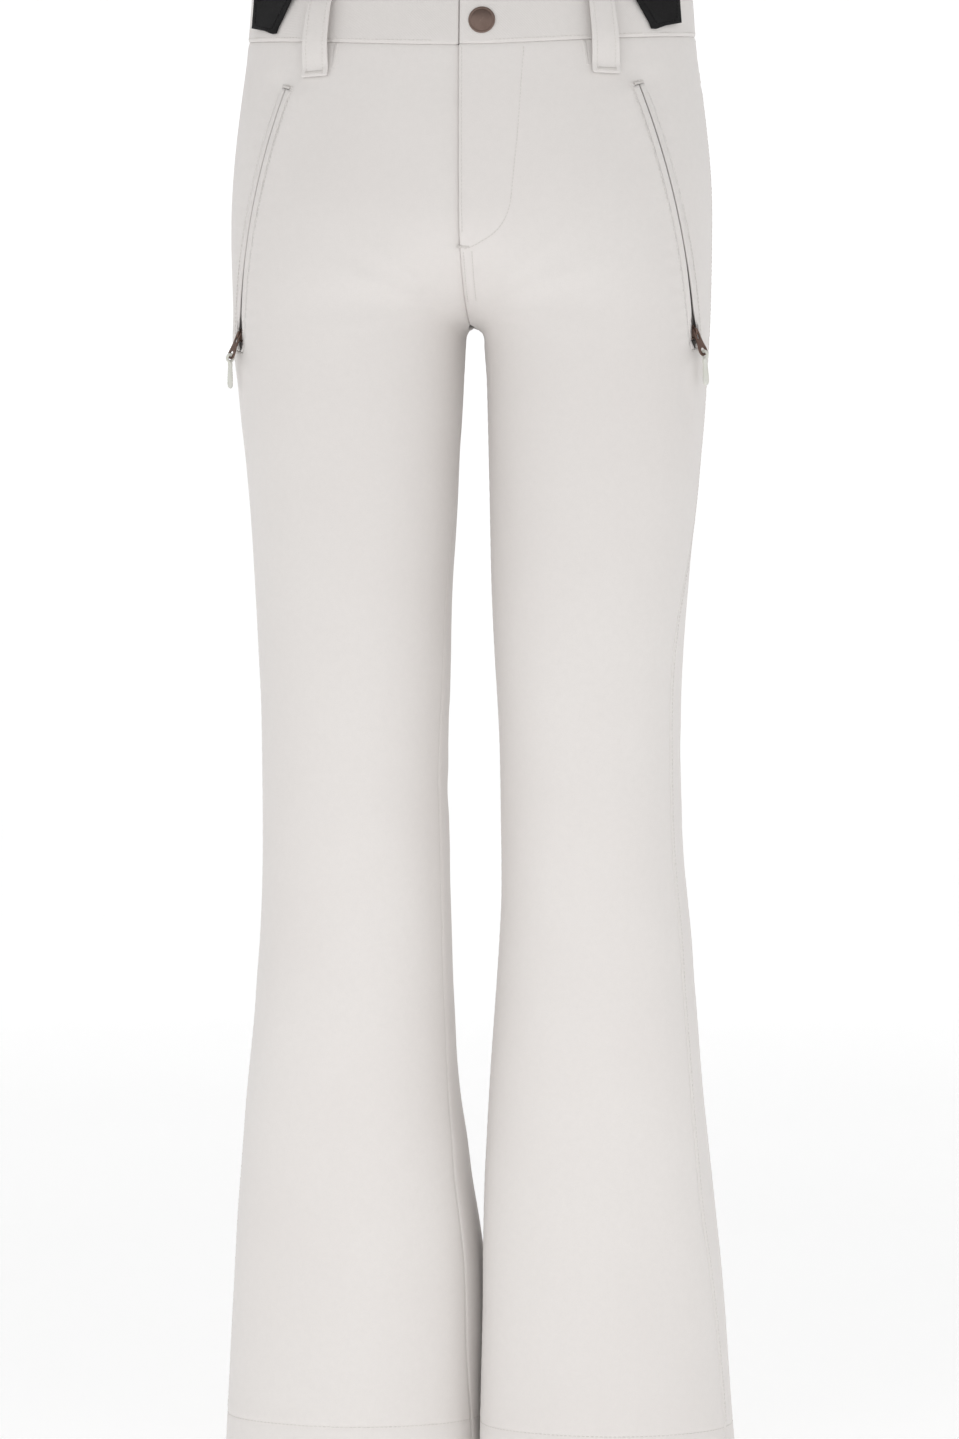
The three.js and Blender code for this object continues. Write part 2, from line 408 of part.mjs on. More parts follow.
// ---- shells ----
const F_COLS = [0, NF], B_COLS = [0, NB];
for (const side of [1, -1]) {
  const name = NAME[side];
  const arc = pocketArc(side);
  report[`pocket_${name}`] = { C: arc.C, axis: arc.axis, R: arc.R, half: (arc.half * 180) / Math.PI };
  const reach = arc.half + 3.4 / arc.R;
  const slot = ribbon(arc.run(-reach, reach, 10), -6.4, 6.4, -9, 9);
  const front = sheet(side, 0, 0, SEAM_ROW, ...F_COLS, 0, -SHELL_T, { bottom: 0 });
  part(`front_panel_${name}`, cut(front, slot), "softshell");
  part(`back_panel_${name}`, sheet(side, 1, 0, YOKE_ROW, ...B_COLS, 0, -SHELL_T, { bottom: 0 }), "softshell");
  part(`back_yoke_${name}`, sheet(side, 1, YOKE_ROW, SEAM_ROW, ...B_COLS, 0, -SHELL_T, { bottom: SEAM_GAP }), "softshell");

  // the two lips in the slot, parted in a V over the slider's parking place at the bottom
  const fr = arc.run(-arc.half - 3 / arc.R, arc.half + 3 / arc.R, 16);
  const slit = (i) => { const s = ((arc.half * 2 + 6 / arc.R) * i * arc.R) / 16; return 1.2 + 2.9 * smooth((30 - s) / 26); };
  part(`pocket_lip_outer_${name}`, ribbon(fr, side > 0 ? slit : (i) => -slit(i), side * 6.1, -1.2, 0.3), "softshell");
  part(`pocket_lip_inner_${name}`, ribbon(fr, side > 0 ? (i) => -slit(i) : slit, -side * 6.1, -1.2, 0.3), "softshell");
  const zr = arc.run(-arc.half, arc.half, 12);
  part(`pocket_zip_coil_${name}`, ribbon(zr, -1.3, 1.3, -4.8, -3), "tape");
  part(`pocket_zip_tape_${name}`, ribbon(zr, -10, 10, -6.6, -5.8), "tape");
  const stop = arc.frame(arc.half - 2.2 / arc.R, -3.9);
  part(`pocket_zip_stop_${name}`, place(join(box(-2.6, 2.6, -1, 1, 1.2, 2.2), box(-2.6, -1.7, -1, 1, 0, 1.4), box(1.7, 2.6, -1, 1, 0, 1.4)), stop.p, stop.b, stop.t, stop.n), "bronze");
  // slider, tab and cord at the bottom, where the zip is shut
  const f = arc.frame(-arc.half + 8 / arc.R, -3.9);
  part(`pocket_slider_${name}`, place(sliderBody(5.5), f.p, f.b, f.t, f.n), "bronze");
  const hinge = add(add(f.p, f.t, 1.9), f.n, 4.85);
  const tilt = 0.4, tt = add(mul(f.t, Math.cos(tilt)), f.n, -Math.sin(tilt)), tn = add(mul(f.n, Math.cos(tilt)), f.t, Math.sin(tilt));
  part(`pocket_pull_${name}`, place(pullTab(), hinge, f.b, tt, tn), "bronze");
  const eye = add(hinge, tt, -(TAB_L + 1.9) + 0.6);
  part(`pocket_cord_pull_${name}`, place(cordPull(), eye, f.b, f.t, f.n), "cord");
  Object.assign(report[`pocket_${name}`], { b: f.b, hinge, eye, rest: f.p });

  // pocket bag, both layers lying together
  part(`pocket_bag_${name}`, sheet(side, 0, Z_LEG.indexOf(755), SEAM_ROW - 1, 4, 9, -8.5, -10.1, { start: 0.4, end: 0.4, bottom: 4, top: 4 }), "lining");

  // turned-up hem inside each leg
  const ringAt = (i, d, z) => {
    const line = [];
    for (const panel of [0, 1]) {
      const g = grid[`${side},${panel}`], n = normals[`${side},${panel}`], k = panel ? NB : NF;
      for (let j = panel; j <= k - panel; j++) line.push(add(g[i][j], n[i][j], d));
    }
    return line.map((p) => [p[0], p[1], z ?? p[2]]);
  };
  part(`hem_facing_${name}`, slab([ringAt(0, -2.1, 0.6), ringAt(1, -2.1)], [ringAt(0, -3, 0.6), ringAt(1, -3)], true), "softshell");
}

// ---- waistband ----
// solid over the waist: cols is a list of {side, panel, u}; height fractions h0..h1 of the band; offsets dIn..dOut
function band(cols, h0, h1, dIn, dOut, gapB = 0, gapT = 0, rows = 2) {
  const grids = [dOut, dIn].map((d) => {
    const g = [];
    for (let r = 0; r <= rows; r++) g.push(cols.map((c, i) => {
      const s = seamZ((Math.PI / 2) * (c.panel + c.u));
      const z = s + WAISTBAND_H * (h0 + ((h1 - h0) * r) / rows) + (r === 0 ? gapB : r === rows ? -gapT : 0);
      const f = frameAt(c.side, c.panel, c.u, z);
      return add(f.p, f.n, typeof d === "function" ? d(i) : d);
    }));
    return g;
  });
  return slab(grids[0], grids[1]);
}
const colsAlong = (side, panel, u0, u1, k) => Array.from({ length: k + 1 }, (_, i) => ({ side, panel, u: u0 + ((u1 - u0) * i) / k }));
const bandMid = 1030;
const uTab = uOfX(1, bandMid, 36), uBody = uOfX(1, bandMid, 36.4), uCF = uOfX(1, bandMid, 0.25), uCFr = uOfX(-1, bandMid, 0.25);
const eSide = 0.0016; // half gap at the side seams, in u
part("waistband_front_left", band(colsAlong(1, 0, uBody, 1 - eSide, 10), 0, 1, -1.2, 0.4, 0.3), "softshell");
part("waistband_front_right", band(colsAlong(-1, 0, uCFr, 1 - eSide, 12), 0, 1, -1.2, 0.4, 0.3), "softshell");
part("waistband_tab", band(colsAlong(1, 0, uCF, uTab, 5), 0, 1, -3.4, 0.4, 0.4), "softshell");
const backCols = [...colsAlong(1, 1, eSide, 1, 12), ...colsAlong(-1, 1, 1, eSide, 12).slice(1)];
{
  const f = frameAt(1, 0, uOfX(1, 1024, 36.2), 1024);
  report.tab_hinge = { p: add(f.p, f.n, 0.6), axis: norm(sub([0, 0, 1], mul(f.n, f.n[2]))) };
}
part("waistband_back", band(backCols, 0, 1, -1.2, 0.4, 0.3), "softshell");
part("waist_elastic", band(backCols.slice(1, -1), 0, 1, -2.7, -1.6, 6, 6), "tape");
part("waistband_facing", band([...colsAlong(1, 0, uBody, 1, 10), ...backCols.slice(1, -1), ...colsAlong(-1, 0, 1, uCFr, 11)], 0, 1, -4.2, -3.2, 0.6, 0.4), "lining");
const lapX = [-30, -20, -8, -3, 1, 9, 16, 24, 31, 38];
const lapCols = lapX.map((x) => ({ side: x < 0 ? -1 : 1, panel: 0, u: uOfX(x < 0 ? -1 : 1, bandMid, Math.abs(x)) }));
part("waistband_underlap", band(lapCols, 0, 1, -8.2, (i) => (lapX[i] <= -3 ? -4.6 : -6.6), 1.2, 1.2), "softshell");

// snap fastener on the tab
const sf = frameAt(1, 0, uOfX(1, 1021, 16), 1021);
const st = norm(sub([0, 0, 1], mul(sf.n, sf.n[2]))), sb = cross(st, sf.n);
const stack = (g, lift) => place(g.translate(0, 0, lift), sf.p, sb, st, sf.n);
report.snap = { p: sf.p, n: sf.n };
part("snap_cap", stack(turned([[0, 0], [SNAP_R, 0], [SNAP_R, 0.5], [8.9, 1.1], [7.2, 1.9], [4.4, 2.5], [0, 2.8]], 24), 0.75), "bronze");
part("snap_socket", stack(turned([[3.1, 0], [6, 0], [6, 1.2], [4.4, 1.8], [3.1, 1.8], [3.1, 0]], 16), -5.5), "bronze");
part("snap_stud", stack(turned([[0, 0], [5.5, 0], [5.5, 0.5], [2.4, 0.6], [2.55, 1.6], [2.2, 2.2], [0, 2.2]], 16), -6.35), "bronze");
part("snap_post", stack(turned([[0, 0], [5.2, 0], [5.4, 0.4], [5.2, 0.8], [0, 0.8]], 16), -9.3), "bronze");

// ---- fly ----
const flyAt = (x, z) => surf(1, 0, uOfX(1, z, x), z);
const fly = arcThrough(flyAt(18, 868), flyAt(18, 998), flyAt(18, 933));
report.fly = { C: fly.C, axis: fly.axis, R: fly.R, half: (fly.half * 180) / Math.PI };
const flyRun = (w0, w1, k) => fly.run(w0, w1, k);
part("fly_zip_coil", ribbon(flyRun(-fly.half, fly.half, 10), -1.3, 1.3, -11.4, -9.6), "tape");
part("fly_zip_tape", ribbon(flyRun(-fly.half, fly.half, 10), -12.5, 12.5, -12.5, -11.7), "tape");
part("fly_shield", ribbon(flyRun(-fly.half - 0.012, fly.half + 0.003, 10), -30, 25, -14.6, -13.4), "softshell");
const fs = fly.frame(fly.half - 8 / fly.R, -10.5);
part("fly_slider", place(sliderBody(3.7), fs.p, fs.b, fs.t, fs.n), "bronze");
part("fly_pull", place(pullTab(), add(add(fs.p, fs.t, 1.9), fs.n, 3.1), fs.b, fs.t, fs.n), "bronze");
report.fly.rest = fs.p;
const fb = fly.frame(-fly.half + 2.2 / fly.R, -10.5);
part("fly_bottom_stop", place(join(box(-2.6, 2.6, -1, 1, 1.2, 2.2), box(-2.6, -1.7, -1, 1, 0, 1.4), box(1.7, 2.6, -1, 1, 0, 1.4)), fb.p, fb.b, fb.t, fb.n), "bronze");
// facing sewn inside the left front from the edge to the curved stitch line
{
  const zs = [892, 903, 915, 945, 975, 1001], w = [36, 39, 41, 44, 45, 45];
  const at = (d) => zs.map((z, i) => [0, 0.34, 0.67, 1].map((k) => {
    const f = frameAt(1, 0, uOfX(1, z, 0.6 + (w[i] - 0.6) * k), z);
    return add(f.p, f.n, d);
  }));
  part("fly_facing", slab(at(-2.9), at(-3.7)), "softshell");
}

// ---- belt loops ----
function beltLoop(name, at) {
  const lift = [1, 1, 1.6, 5, 6.2, 6.2, 5.2, 1.9, 1.3], hs = [-25, -21, -17, -7, 3, 17, 27, 34.5, 37.2];
  const mid = at(10), frames = hs.map((h, i) => {
    const f = at(h);
    return { p: add(f.p, mid.n, lift[i]), n: mid.n, b: mid.b };
  });
  part(name, ribbon(frames, -LOOP_W / 2, LOOP_W / 2, 0, 1.7), "softshell");
  report[name] = { p: mid.p, n: mid.n, b: mid.b };
}
const loopAt = (side, panel, uOf) => (h) => {
  let u = uOf(h), s = seamZ((Math.PI / 2) * (panel + u));
  const f = frameAt(side, panel, u, s + h);
  const b = norm(cross([0, 0, 1], f.n));
  return { p: f.p, n: f.n, b: panel === 1 && u > 0.999 ? [1, 0, 0] : b };
};
for (const side of [1, -1]) {
  beltLoop(`belt_loop_front_${NAME[side]}`, loopAt(side, 0, (h) => uOfX(side, 1010 + h, 99.4 - 0.11 * h)));
  beltLoop(`belt_loop_back_${NAME[side]}`, loopAt(side, 1, () => 0.4));
}
{
  const at = (h) => { const s = seamZ(Math.PI), p = surf(1, 1, 1, s + h), q = surf(1, 1, 1, s + h + 4), r = surf(1, 1, 1, s + h - 4); const t = norm(sub(q, r)); return { p: [0, p[1], p[2]], n: norm([0, t[2], -t[1]]), b: [1, 0, 0] }; };
  beltLoop("belt_loop_back_centre", at);
}

// ---- braces: elastic straps fixed to the outside of the waistband, dropped over its edge and hanging inside to the back ----
const braceUs = 0.66;
function brace(side) {
  const name = NAME[side], frames = [];
  const uc = uOfX(side, 1040, 133), phi = (Math.PI / 2) * uc, top = seamZ(phi) + WAISTBAND_H;
  const mid = frameAt(side, 0, uc, top - 12), n = mid.n, b = norm(cross([0, 0, 1], n)), up = norm(cross(n, b));
  const flat = norm([n[0], n[1], 0]);
  const base = (z) => surf(side, 0, uc, z);
  // outside, from the sewn end up to the edge
  for (const h of [26, 18, 9, 1]) frames.push({ p: add(base(top - h), n, 2.2), n, b });
  // over the edge
  const e = base(top), r0 = 2.2, r1 = -8.8, c = add(add(e, flat, (r0 + r1) / 2), [0, 0, 1], 1), r = (r0 - r1) / 2;
  for (const a of [30, 70, 110, 150]) {
    const q = (a * Math.PI) / 180, m = norm(add(mul(flat, Math.cos(q)), [0, 0, 1], Math.sin(q)));
    frames.push({ p: add(c, m, r), n: m, b });
  }
  // inside: down and across to the back in a free-hanging curve
  const P0 = add(add(e, flat, r1), [0, 0, -1], 2), P3 = [side * 24, surf(side, 1, 1, 1062)[1] - 9.6, 1064];
  const P1 = add(add(P0, [0, 0, -1], 250), flat, -4), P2 = add(P3, [side * 0, -10, -290]);
  const bz = (t) => { const s = 1 - t; return [0, 1, 2].map((k) => s * s * s * P0[k] + 3 * s * s * t * P1[k] + 3 * s * t * t * P2[k] + t * t * t * P3[k]); };
  const dz = (t) => { const s = 1 - t; return norm([0, 1, 2].map((k) => 3 * s * s * (P1[k] - P0[k]) + 6 * s * t * (P2[k] - P1[k]) + 3 * t * t * (P3[k] - P2[k]))); };
  const bEnd = [-1, 0, 0].map((v) => v * side * -1 * side);
  const pts = [];
  for (let i = 0; i <= 22; i++) {
    const t = i / 22, T = dz(t);
    let bb = norm(lerp3(b, [Math.sign(b[0] || 1), 0, 0], smooth(t)));
    bb = norm(sub(bb, mul(T, dot(bb, T))));
    frames.push({ p: bz(t), n: norm(cross(T, bb)), b: bb, T });
    pts.push(bz(t));
  }
  // keep the thickness direction continuous
  for (let i = 1; i < frames.length; i++) if (dot(frames[i].n, frames[i - 1].n) < 0) frames[i].n = mul(frames[i].n, -1);
  part(`brace_strap_${name}`, ribbon(frames, -STRAP_W / 2, STRAP_W / 2, -0.8, 0.8), "webbing");
  let L = 0;
  for (let i = 1; i < frames.length; i++) L += len(sub(frames[i].p, frames[i - 1].p));
  // adjuster: a flat frame round the strap
  const k = frames[8 + 6], T = k.T;
  const ring = cut(box(-23, 23, -5, 5, -3.3, 3.3), box(-20.5, 20.5, -8, 8, -2.3, 2.3));
  part(`brace_adjuster_${name}`, place(ring, k.p, k.b, norm(cross(k.n, k.b)), k.n), "steel");
  report[`brace_${name}`] = { L, pts: pts.filter((_, i) => i % 4 === 0), b };
}
brace(1);
brace(-1);
{
  const cols = [{ side: 1, panel: 1, u: uAtX(1, 46) }, { side: 1, panel: 1, u: uAtX(1, 23) }, { side: 1, panel: 1, u: 1 }, { side: -1, panel: 1, u: uAtX(-1, 23) }, { side: -1, panel: 1, u: uAtX(-1, 46) }];
  part("brace_anchor_patch", band(cols, 0.12, 0.82, -6.1, -4.9, 0, 0, 1), "webbing");
  const g = (d) => [985, 1010].map((z) => [18, 6, -6, -18].map((x) => { const f = frameAt(x < 0 ? -1 : 1, 1, uAtX(x < 0 ? -1 : 1, Math.abs(x), z), z); return add(f.p, f.n, d); }));
  part("size_label", slab(g(-2.6), g(-3.0)), "label");
}
function uAtX(side, x, z = 1040) {
  let lo = 0, hi = 1;
  for (let i = 0; i < 40; i++) { const m = (lo + hi) / 2; if (Math.abs(surf(side, 1, m, z)[0]) > x) lo = m; else hi = m; }
  return (lo + hi) / 2;
}
root.children.forEach((m) => m.position.set(SHIFT[0], SHIFT[1], SHIFT[2]));
root.userData = report; // centres and axes of the moving parts, before SHIFT
export default root;
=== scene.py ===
"""Ladies' flared softshell ski pants: the visual model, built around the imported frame.

Lengths in the geometry code are millimetres in the design's own coordinates; W() turns them into the frame's metres.
The garment's front faces -Y and the wearer's left side is +X.
"""

import math

import bpy
import numpy as np
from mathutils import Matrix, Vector


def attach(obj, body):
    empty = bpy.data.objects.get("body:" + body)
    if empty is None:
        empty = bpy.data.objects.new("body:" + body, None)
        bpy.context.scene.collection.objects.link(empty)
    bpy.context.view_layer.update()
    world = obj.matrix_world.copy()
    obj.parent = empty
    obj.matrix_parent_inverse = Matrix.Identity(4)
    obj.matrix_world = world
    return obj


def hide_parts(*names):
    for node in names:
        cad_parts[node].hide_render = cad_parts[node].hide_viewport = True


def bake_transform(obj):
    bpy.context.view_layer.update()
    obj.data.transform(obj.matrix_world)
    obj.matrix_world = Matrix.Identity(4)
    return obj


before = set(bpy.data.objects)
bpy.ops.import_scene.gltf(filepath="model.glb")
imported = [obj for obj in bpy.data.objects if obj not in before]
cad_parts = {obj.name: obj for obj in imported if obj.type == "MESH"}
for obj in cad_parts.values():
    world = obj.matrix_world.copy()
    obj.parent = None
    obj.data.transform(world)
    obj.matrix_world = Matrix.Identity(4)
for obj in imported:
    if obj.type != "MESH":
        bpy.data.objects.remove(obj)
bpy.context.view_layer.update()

SHIFT = np.array([-2.967, -9.738, 0.0])
CROTCH = 815.0
WAIST_SEAM, WAIST_TILT, BAND_H = 1022.2, 17.8, 38.0
FRONT_RISE, BACK_RISE = 75.0, 105.0


def W(p):
    return (np.asarray(p, dtype=float) + SHIFT) * 0.001


# ------------------------------------------------------------------ the camera
YAW = math.radians(5.0)
RIGHT = np.array([math.cos(YAW), math.sin(YAW), 0.0])
cam_data = bpy.data.cameras.new("camera")
cam = bpy.data.objects.new("camera", cam_data)
bpy.context.scene.collection.objects.link(cam)
bpy.context.scene.camera = cam
CAM_D = 3.2
pos = np.array([math.sin(YAW) * CAM_D, -math.cos(YAW) * CAM_D, 0.533]) + RIGHT * 0.0058 + SHIFT * 0.001
cam.location = pos
cam.rotation_euler = (math.radians(90), 0, YAW)
cam_data.lens = 111.2
cam_data.sensor_width = 36
cam_data.sensor_fit = "AUTO"
cam_data.clip_end = 60

# ------------------------------------------------------------------ tables of the cut
LEG = np.array([
    [-10, 189.4, 5.0, 183.5, -5.7], [28, 186.7, 5.6, 182, -5.8], [57, 184.9, 6.2, 180.4, -5.9], [86, 182.8, 6.9, 178.8, -6],
    [115, 180.6, 7.5, 177, -5.8], [144, 178.5, 7.6, 175.2, -4.6], [172, 175.9, 8, 173.4, -1.4], [201, 173.1, 8.7, 170.9, 2.8],
    [230, 170.2, 10.2, 168.3, 6.1], [259, 167.4, 11.8, 165.7, 9.9], [288, 164.9, 13.7, 162.4, 12.2], [317, 162.4, 15.9, 159.1, 13.3],
    [346, 160, 18.1, 156.6, 14.5], [375, 158.2, 20.1, 154, 15], [404, 155.5, 21.7, 152.2, 15.5], [432, 153, 21.9, 151.2, 16],
    [461, 151.4, 21.6, 150.9, 16.5], [490, 150.7, 21.3, 151, 17.1], [519, 150.6, 20.7, 151.3, 16.6], [547, 151, 19.3, 151.9, 15.6],
    [576, 152.4, 17.5, 153.3, 14.9], [605, 154.5, 16, 154.7, 14.6], [634, 157, 14.9, 156.2, 13.6], [662, 159.5, 14.3, 157.8, 11.9],
    [691, 162.4, 13.7, 160, 10.2], [720, 164.9, 12.9, 162.8, 8.8], [749, 167.5, 12.1, 166.3, 6.8], [777, 169.3, 11.2, 169, 5.6],
    [806, 171, 9.3, 171, 4.8]], float)
HIP = np.array([[777, 169.3], [806, 171], [835, 172], [864, 172.6], [893, 172.9], [922, 172], [951, 169.5], [979, 166.2],
                [1008, 162.3], [1030, 160], [1052, 158.4], [1090, 156.5]], float)
DEPTH = np.array([[-10, 76, 77], [100, 74, 75], [200, 72, 73], [300, 70, 72], [400, 68, 71], [480, 68, 71], [560, 72, 75],
                  [650, 79, 82], [750, 87, 92], [815, 95, 103], [850, 99.5, 113], [880, 102, 118], [910, 103.5, 119.5],
                  [950, 103.8, 116.5], [980, 102.5, 111], [1010, 100.5, 105], [1035, 98, 100.5], [1060, 95.8, 97.5], [1090, 94, 95]], float)
CENTRE = np.array([[-10, 12, 40], [100, 12, 36], [200, 12, 28], [300, 8, 18], [400, 2, 8], [480, -2, 2], [560, -3, 0],
                   [650, -2, 0], [750, 1, 1], [815, 4, 4], [900, 2, 2], [1000, 2, 2], [1090, 2, 2]], float)
TURN = np.array([[-10, 17, 5, 5, 20], [100, 20, 5, 5, 27], [200, 27, 5, 5, 26], [300, 26, 5, 5, 20], [470, 25, 5, 5, 20],
                 [600, 22, 5, 4, 15], [680, 4, 3, 3, 8], [760, 2, 1.5, 2, 3], [815, 2, 0, 2, 0], [1100, 0, 0, 0, 0]], float)


def look(t, x, k):
    """The smooth curve through column k of a table, at x."""
    n = len(t)
    i = 0
    while i < n - 2 and x > t[i + 1][0]:
        i += 1
    x0, x1 = t[i][0], t[i + 1][0]
    s = min(1.0, max(0.0, (x - x0) / (x1 - x0)))

    def slope(j):
        if j <= 0 or j >= n - 1:
            return 0.0
        dl = (t[j][k] - t[j - 1][k]) / (t[j][0] - t[j - 1][0])
        dr = (t[j + 1][k] - t[j][k]) / (t[j + 1][0] - t[j][0])
        return 0.0 if dl * dr <= 0 else (dl + dr) / 2
    h = x1 - x0
    return ((2 * s**3 - 3 * s**2 + 1) * t[i][k] + (s**3 - 2 * s**2 + s) * slope(i) * h
            + (-2 * s**3 + 3 * s**2) * t[i + 1][k] + (s**3 - s**2) * slope(i + 1) * h)


def sstep(t, a=0.0, b=1.0):
    t = np.clip((np.asarray(t, float) - a) / (b - a), 0, 1)
    return t * t * (3 - 2 * t)


def spow(v, p):
    return np.sign(v) * np.abs(v) ** p


NU = 160
EXP = 2 / 2.08


def resample(p):
    s = np.concatenate([[0], np.cumsum(np.hypot(np.diff(p[:, 0]), np.diff(p[:, 1])))])
    t = np.linspace(0, s[-1], NU + 1)
    return np.stack([np.interp(t, s, p[:, 0]), np.interp(t, s, p[:, 1])], 1)


def section(side, z):
    L = side > 0
    F, B, cy = look(DEPTH, z, 1), look(DEPTH, z, 2), look(CENTRE, z, 1 if L else 2)
    so, si = math.radians(look(TURN, z, 1 if L else 3)), math.radians(look(TURN, z, 2 if L else 4))
    if z < CROTCH:
        out = look(HIP, z, 1) if z > 777 else look(LEG, z, 1 if L else 3)
        edge = look(LEG, min(z, 806), 2 if L else 4)
        inn = edge
        if z > 806:
            d = (CROTCH - z) / 9
            inn = edge * math.sqrt(max(0, 1 - (1 - d) ** 2))
        cx = (out + edge) / 2

        def at(w):
            c, s = np.cos(w), np.sin(w)
            return np.stack([cx - np.where(c > 0, cx - inn, out - cx) * spow(c, EXP), cy - np.where(s > 0, F, B) * spow(s, EXP)], 1)
        front = at(np.linspace(si, math.pi - so, 400))
        back = at(np.linspace(math.pi - so, 2 * math.pi + si, 400))
    else:
        out = look(HIP, z, 1)
        cx = ((look(HIP, CROTCH, 1) + look(LEG, 806, 2 if L else 4)) / 2) * (1 - 0.62 * float(sstep((z - CROTCH) / 200)))
        a = out - cx
        qf, qb = min(1, max(1e-5, 1 - (z - CROTCH) / FRONT_RISE)), min(1, max(1e-5, 1 - (z - CROTCH) / BACK_RISE))

        def inner(q, D, sign):
            A = cx / q
            w0 = math.acos(min(1, cx / A))
            w = np.linspace(w0, math.pi / 2, 150)[:-1]
            return np.stack([np.maximum(0, cx - A * np.cos(w)), cy + sign * D * np.sin(w)], 1)

        def at(w):
            c, s = np.cos(w), np.sin(w)
            return np.stack([cx - a * spow(c, EXP), cy - np.where(s > 0, F, B) * spow(s, EXP)], 1)
        front = np.concatenate([inner(qf, F, -1), at(np.linspace(math.pi / 2, math.pi - so, 250))])
        back = np.concatenate([at(np.linspace(math.pi - so, 1.5 * math.pi, 250)), inner(qb, B, 1)[::-1]])
    return resample(front), resample(back)


Z0, Z1, DZ = -6.0, 1088.0, 1.0
ZS = np.arange(Z0, Z1 + 0.5, DZ)


def make_table(side):
    t = np.zeros((len(ZS), 2 * NU + 1, 3))
    for i, z in enumerate(ZS):
        f, b = section(side, z)
        t[i, :NU + 1, :2] = f
        t[i, NU + 1:, :2] = b[1:]
        t[i, :, 2] = z
    # take the kink out of the surface round the crotch's height, away from the rise seam itself
    k = np.exp(-0.5 * (np.arange(-30, 31) / 11.0) ** 2)
    k /= k.sum()
    sm = t.copy()
    lo, hi = int(720 - Z0), int(910 - Z0)
    for i in range(lo, hi):
        sm[i, :, :2] = np.tensordot(k, t[i - 30:i + 31, :, :2], (0, 0))
    s = np.arange(2 * NU + 1) / NU
    wu = sstep(np.minimum(s, 2 - s), 0.01, 0.16)[None, :, None]
    wz = (sstep(ZS, 722, 770) * (1 - sstep(ZS, 865, 908)))[:, None, None]
    t[:, :, :2] = t[:, :, :2] * (1 - wu * wz) + sm[:, :, :2] * wu * wz
    t[:, :, 0] *= side
    # normals, shared across the outseam, the inseam and the centre seams
    leg = (ZS < CROTCH)[:, None]
    du = np.empty_like(t)
    du[:, 1:-1] = t[:, 2:] - t[:, :-2]
    wrap = t[:, 1] - t[:, -2]
    du[:, 0] = np.where(leg, wrap, (t[:, 1] - t[:, 0]))
    du[:, -1] = np.where(leg, wrap, (t[:, -1] - t[:, -2]))
    dz = np.gradient(t, axis=0)
    n = np.cross(du, dz) * side
    n /= np.maximum(1e-9, np.linalg.norm(n, axis=2, keepdims=True))
    up = ZS >= CROTCH - 0.5
    for j in (0, 2 * NU):
        n[up, j, 0] = 0
    for j in range(1, 12):  # ease the sideways part in near the centre seams
        f = sstep(j / 12.0)
        hi_z = ZS > 880
        n[hi_z, j, 0] *= f
        n[hi_z, 2 * NU - j, 0] *= f
    for _ in range(3):
        m = n.copy()
        m[1:-1] = n[:-2] + 2 * n[1:-1] + n[2:]
        m[:, 1:-1] = m[:, :-2] + 2 * m[:, 1:-1] + m[:, 2:]
        m[up, 0, 0] = 0
        m[up, -1, 0] = 0
        n = m / np.maximum(1e-9, np.linalg.norm(m, axis=2, keepdims=True))
    return t, n


TAB = {1: make_table(1), -1: make_table(-1)}


def bilinear(a, s, z):
    s = np.clip(np.asarray(s, float), 0, 2) * NU
    zi = (np.clip(np.asarray(z, float), Z0, Z1 - 1e-6) - Z0) / DZ
    j = np.minimum(2 * NU - 1, s.astype(int))
    i = np.minimum(len(ZS) - 2, zi.astype(int))
    f, g = (s - j)[..., None], (zi - i)[..., None]
    return (a[i, j] * (1 - f) + a[i, j + 1] * f) * (1 - g) + (a[i + 1, j] * (1 - f) + a[i + 1, j + 1] * f) * g


def surf(side, panel, u, z):
    """Points of the cut's surface: panel 0 front, 1 back; u from the centre front (or inseam) to the side, and on to the back."""
    return bilinear(TAB[side][0], panel + np.asarray(u, float), z)


def nrm(side, panel, u, z):
    n = bilinear(TAB[side][1], panel + np.asarray(u, float), z)
    return n / np.linalg.norm(n, axis=-1, keepdims=True)


def seam_z(s):
    """Height of the waist seam; s is 0 at the centre front, 1 at the side, 2 at the centre back."""
    return WAIST_SEAM - WAIST_TILT * np.cos(np.pi / 2 * np.asarray(s, float))


def u_of_x(side, z, x, panel=0):
    u = np.linspace(0, 1, 801)
    p = np.abs(surf(side, panel, u, np.full_like(u, z))[:, 0])
    if panel:
        return float(np.interp(-x, -p, u))
    return float(np.interp(x, p, u))


# ------------------------------------------------------------------ soft shape on top of the cut
rng = np.random.default_rng(7)
WAVES = [(rng.normal(size=3) * [1.0, 1.0, 0.55], rng.uniform(0, 6.28)) for _ in range(26)]


def noise(p, scale):
    """Smooth noise about -1 to 1; scale is the wave's length in millimetres."""
    out = np.zeros(p.shape[:-1])
    for k, ph in WAVES:
        out += np.sin((p @ (k * 2 * math.pi / (scale * 1.7))) + ph)
    return out / math.sqrt(len(WAVES)) * 0.75


def bump1(x, c, w):
    return np.exp(-((x - c) / w) ** 2)


